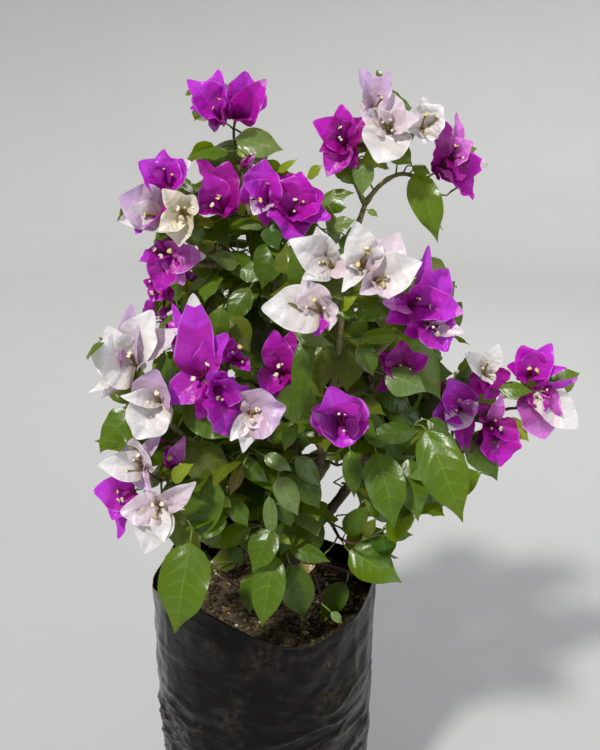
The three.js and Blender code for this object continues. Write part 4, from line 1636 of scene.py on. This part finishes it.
def film_wrinkle(angle, z):
    """How far the film stands out of its even wall: dents, level creases low down, upright pleats above."""
    x, y = math.cos(angle) * BAG_RADIUS, math.sin(angle) * BAG_RADIUS
    high = within((z - 130) / 50)
    dents = 2.4 * bumps(x / 34, y / 34, z / 30) + 0.9 * bumps(x / 15, y / 15, z / 13)
    patch = within(0.55 + 1.6 * bumps(x / 45 + 9, y / 45, z / 50))
    bend = 9 * bumps(x / 30, y / 30 + 4, z / 40)
    broad = 1.5 * crease(x / 40, y / 40, (z + bend) / 14 + 5)
    level = broad + 1.2 * patch * crease(x / 18, y / 18, (z + bend) / 7 + 31)
    slant = 0.8 * patch * crease(x / 16 + z / 30, y / 16, z / 20 + 17)
    pleats = 0.5 * crease(x / 16, y / 16, z / 90 + 3) + 0.2 * bumps(x / 6, y / 6, z / 50)
    foot = 1 - 0.8 * within((20 - z) / 20)
    return (dents + (level + slant) * (1 - 0.85 * high) + pleats * (0.2 + 0.8 * high) - 1.2) * foot


def make_bag():
    flat = BAG_FOOT_RADIUS - FOOT_ROUNDING
    outer = [(flat * k / 5, 0.0) for k in range(6)] + rounding(flat, FOOT_ROUNDING, 1, 5)
    for k in range(1, WALL_ROWS + 1):
        z = FOOT_ROUNDING + (BAG_HEIGHT - FOOT_ROUNDING) * k / WALL_ROWS
        share = min(1, (z - FOOT_ROUNDING) / (RIM_WAVE_START - FOOT_ROUNDING))
        outer.append((BAG_FOOT_RADIUS + (BAG_RADIUS - BAG_FOOT_RADIUS) * share, z))
    inner = [(r - FILM, z) for r, z in reversed(outer[-INNER_ROWS:])]
    mesh = spun(outer + inner, 240, 0.01)
    for v in mesh.verts:
        r = math.hypot(v.co.x, v.co.y)
        if r < 1 or v.co.z < 0.5:
            continue
        angle = math.atan2(v.co.y, v.co.x)
        share = within((v.co.z - RIM_WAVE_START) / (BAG_HEIGHT - RIM_WAVE_START))
        z = v.co.z + share * share * (3 - 2 * share) * rim_rise(angle)
        r += film_wrinkle(angle, v.co.z)
        v.co = (r * math.cos(angle), r * math.sin(angle), z)
    placed(finished(mesh, "film_bag", "black_film"), "film_bag", "film", "nursery_bag")


make_bag()


def soil_height(x, y):
    """The soil's surface: low mounds and lumps, flat by the stem."""
    away = math.hypot(x - STEM_FOOT[0], y - STEM_FOOT[1])
    calm = max(0.15, min(1, (away - 12) / 25))
    lumps = 2.4 * bumps(x / 22, y / 22, 3) + 1.8 * bumps(x / 8, y / 8, 7)
    return SOIL_LEVEL + calm * lumps + 0.7 * bumps(x / 3.2, y / 3.2, 1)


SOIL_RADIUS = BAG_RADIUS - 2.6
SOIL_RINGS = 42


def extruded(mesh, edges, radius, z=0.0):
    """A new ring of points from a ring of edges, at a radius and height, and its edges."""
    grown = bmesh.ops.extrude_edge_only(mesh, edges=edges)["geom"]
    for v in [g for g in grown if isinstance(g, bmesh.types.BMVert)]:
        v.co = Vector((v.co.x, v.co.y, 0)).normalized() * radius + Vector((0, 0, z))
    return [g for g in grown if isinstance(g, bmesh.types.BMEdge)]


def make_soil():
    mesh = bmesh.new()
    bmesh.ops.create_circle(mesh, cap_ends=False, segments=120, radius=SOIL_RADIUS)
    rim = list(mesh.edges)
    for ring in range(1, SOIL_RINGS):
        rim = extruded(mesh, rim, SOIL_RADIUS * (1 - ring / SOIL_RINGS))
    bmesh.ops.edgeloop_fill(mesh, edges=rim)
    for v in mesh.verts:
        v.co.z = soil_height(v.co.x, v.co.y)
    outside = [e for e in mesh.edges if e.is_boundary]
    for radius, z in ((SOIL_RADIUS, 150), (BAG_FOOT_RADIUS - 3.6, 12), (BAG_FOOT_RADIUS - 12, 2.2)):
        outside = extruded(mesh, outside, radius, z)
    bmesh.ops.edgeloop_fill(mesh, edges=outside)
    placed(finished(mesh, "soil_bed", "potting_soil"), "soil_bed", "soil", "soil")


make_soil()


CRUMBS = (
    # finish, how many, least and most size, shape
    ("soil_crumb_dark", 800, 0.8, 2.2, (1, 1, 0.8)),
    ("soil_crumb_brown", 340, 0.7, 2.0, (1, 1, 0.8)),
    ("grit_pale", 60, 0.5, 1.3, (1, 0.8, 0.7)),
    ("husk_straw", 120, 1.4, 3.6, (1, 0.3, 0.12)),
    ("litter_green", 34, 1.4, 3.0, (1, 0.6, 0.16)),
    ("pebble_pink", 3, 3.0, 5.0, (1, 0.8, 0.6)),
)


def make_crumbs():
    """Crumbs, grit and husks that lie on the soil, pressed a little into it."""
    balls = []
    for fineness in (1, 2):
        mesh = bmesh.new()
        bmesh.ops.create_icosphere(mesh, subdivisions=fineness, radius=1)
        balls.append(Net(mesh))
    rng, heap = dice("crumbs"), Heap()
    for tint, count, least, most, shape in CRUMBS:
        for _ in range(count):
            angle, out = rng.uniform(0, math.tau), (SOIL_RADIUS - 3) * math.sqrt(rng.random())
            x, y = out * math.cos(angle), out * math.sin(angle)
            if math.hypot(x - STEM_FOOT[0], y - STEM_FOOT[1]) < STEM_FLARE:
                continue
            size = rng.uniform(least, most)
            net = balls[size > 1.6]
            points = net.points * (1 + 0.22 * rng.normal(0, 1, len(net.points))[:, None].clip(-1.5, 1.5))
            points = points * np.array(shape) * size
            spin, tip = rng.uniform(0, math.tau), rng.normal(0, 0.3)
            c, s = math.cos(spin), math.sin(spin)
            points = points @ np.array(((c, s, 0), (-s, c, 0), (0, 0, 1)))
            points[:, 2] += points[:, 0] * tip
            points += (x, y, soil_height(x, y) + size * shape[2] * 0.45)
            heap.lay(net, points, tint)
    heap.piece("soil_crumbs", "soil")


make_crumbs()


# Stage: a plain pale bowl whose floor runs up into its wall, and soft light
FLOOR_RADIUS, WALL_RADIUS, WALL_HEIGHT = 2.2, 3.4, 2.6  # metres, as all of the stage
FLOOR_BELOW = 0.0002


def make_stage():
    bend = WALL_RADIUS - FLOOR_RADIUS
    profile = [(0.0, 0.0), (FLOOR_RADIUS / 2, 0.0), *rounding(FLOOR_RADIUS, bend, 0, 12)]
    profile.append((WALL_RADIUS, WALL_HEIGHT))
    mesh = spun([(r, z - FLOOR_BELOW) for r, z in profile], 64, 1e-4)
    floor = bpy.data.objects.new("floor", finished(mesh, "floor", "pale_floor", 1))
    floor.visible_shadow = False  # the bowl's near wall keeps no light off the plant
    bpy.context.scene.collection.objects.link(floor)


def add_light(name, kind, place, way, power, colour, **settings):
    """A lamp that shines along a direction."""
    data = bpy.data.lights.new(name, kind)
    for key, value in {"energy": power, "color": linear(colour)[:3], **settings}.items():
        setattr(data, key, value)
    light = bpy.data.objects.new(name, data)
    light.location = place
    light.rotation_euler = Vector(way).to_track_quat("-Z", "Y").to_euler()
    bpy.context.scene.collection.objects.link(light)


def light_stage():
    world = bpy.data.worlds.new("world")
    world.use_nodes = True
    back = world.node_tree.nodes["Background"]
    back.inputs["Color"].default_value = linear("#f4f4f2")
    back.inputs["Strength"].default_value = 0.34
    bpy.context.scene.world = world
    add_light("key", "SUN", (0, 0, 0), (0.5, 0.62, -1.0), 3.6, "#fffcf6", angle=math.radians(6))
    middle = Vector((0.03, 0.0, 0.32))
    for name, place, size, power, colour in (
        ("fill", (1.1, -0.9, 0.8), 1.2, 6, "#eef3ff"),
        ("rim", (0.4, 1.3, 1.2), 0.5, 8, "#ffffff"),
    ):
        add_light(name, "AREA", place, middle - Vector(place), power, colour, shape="DISK", size=size)
    bpy.context.scene.view_settings.view_transform = "Standard"


make_stage()
light_stage()
make_camera()
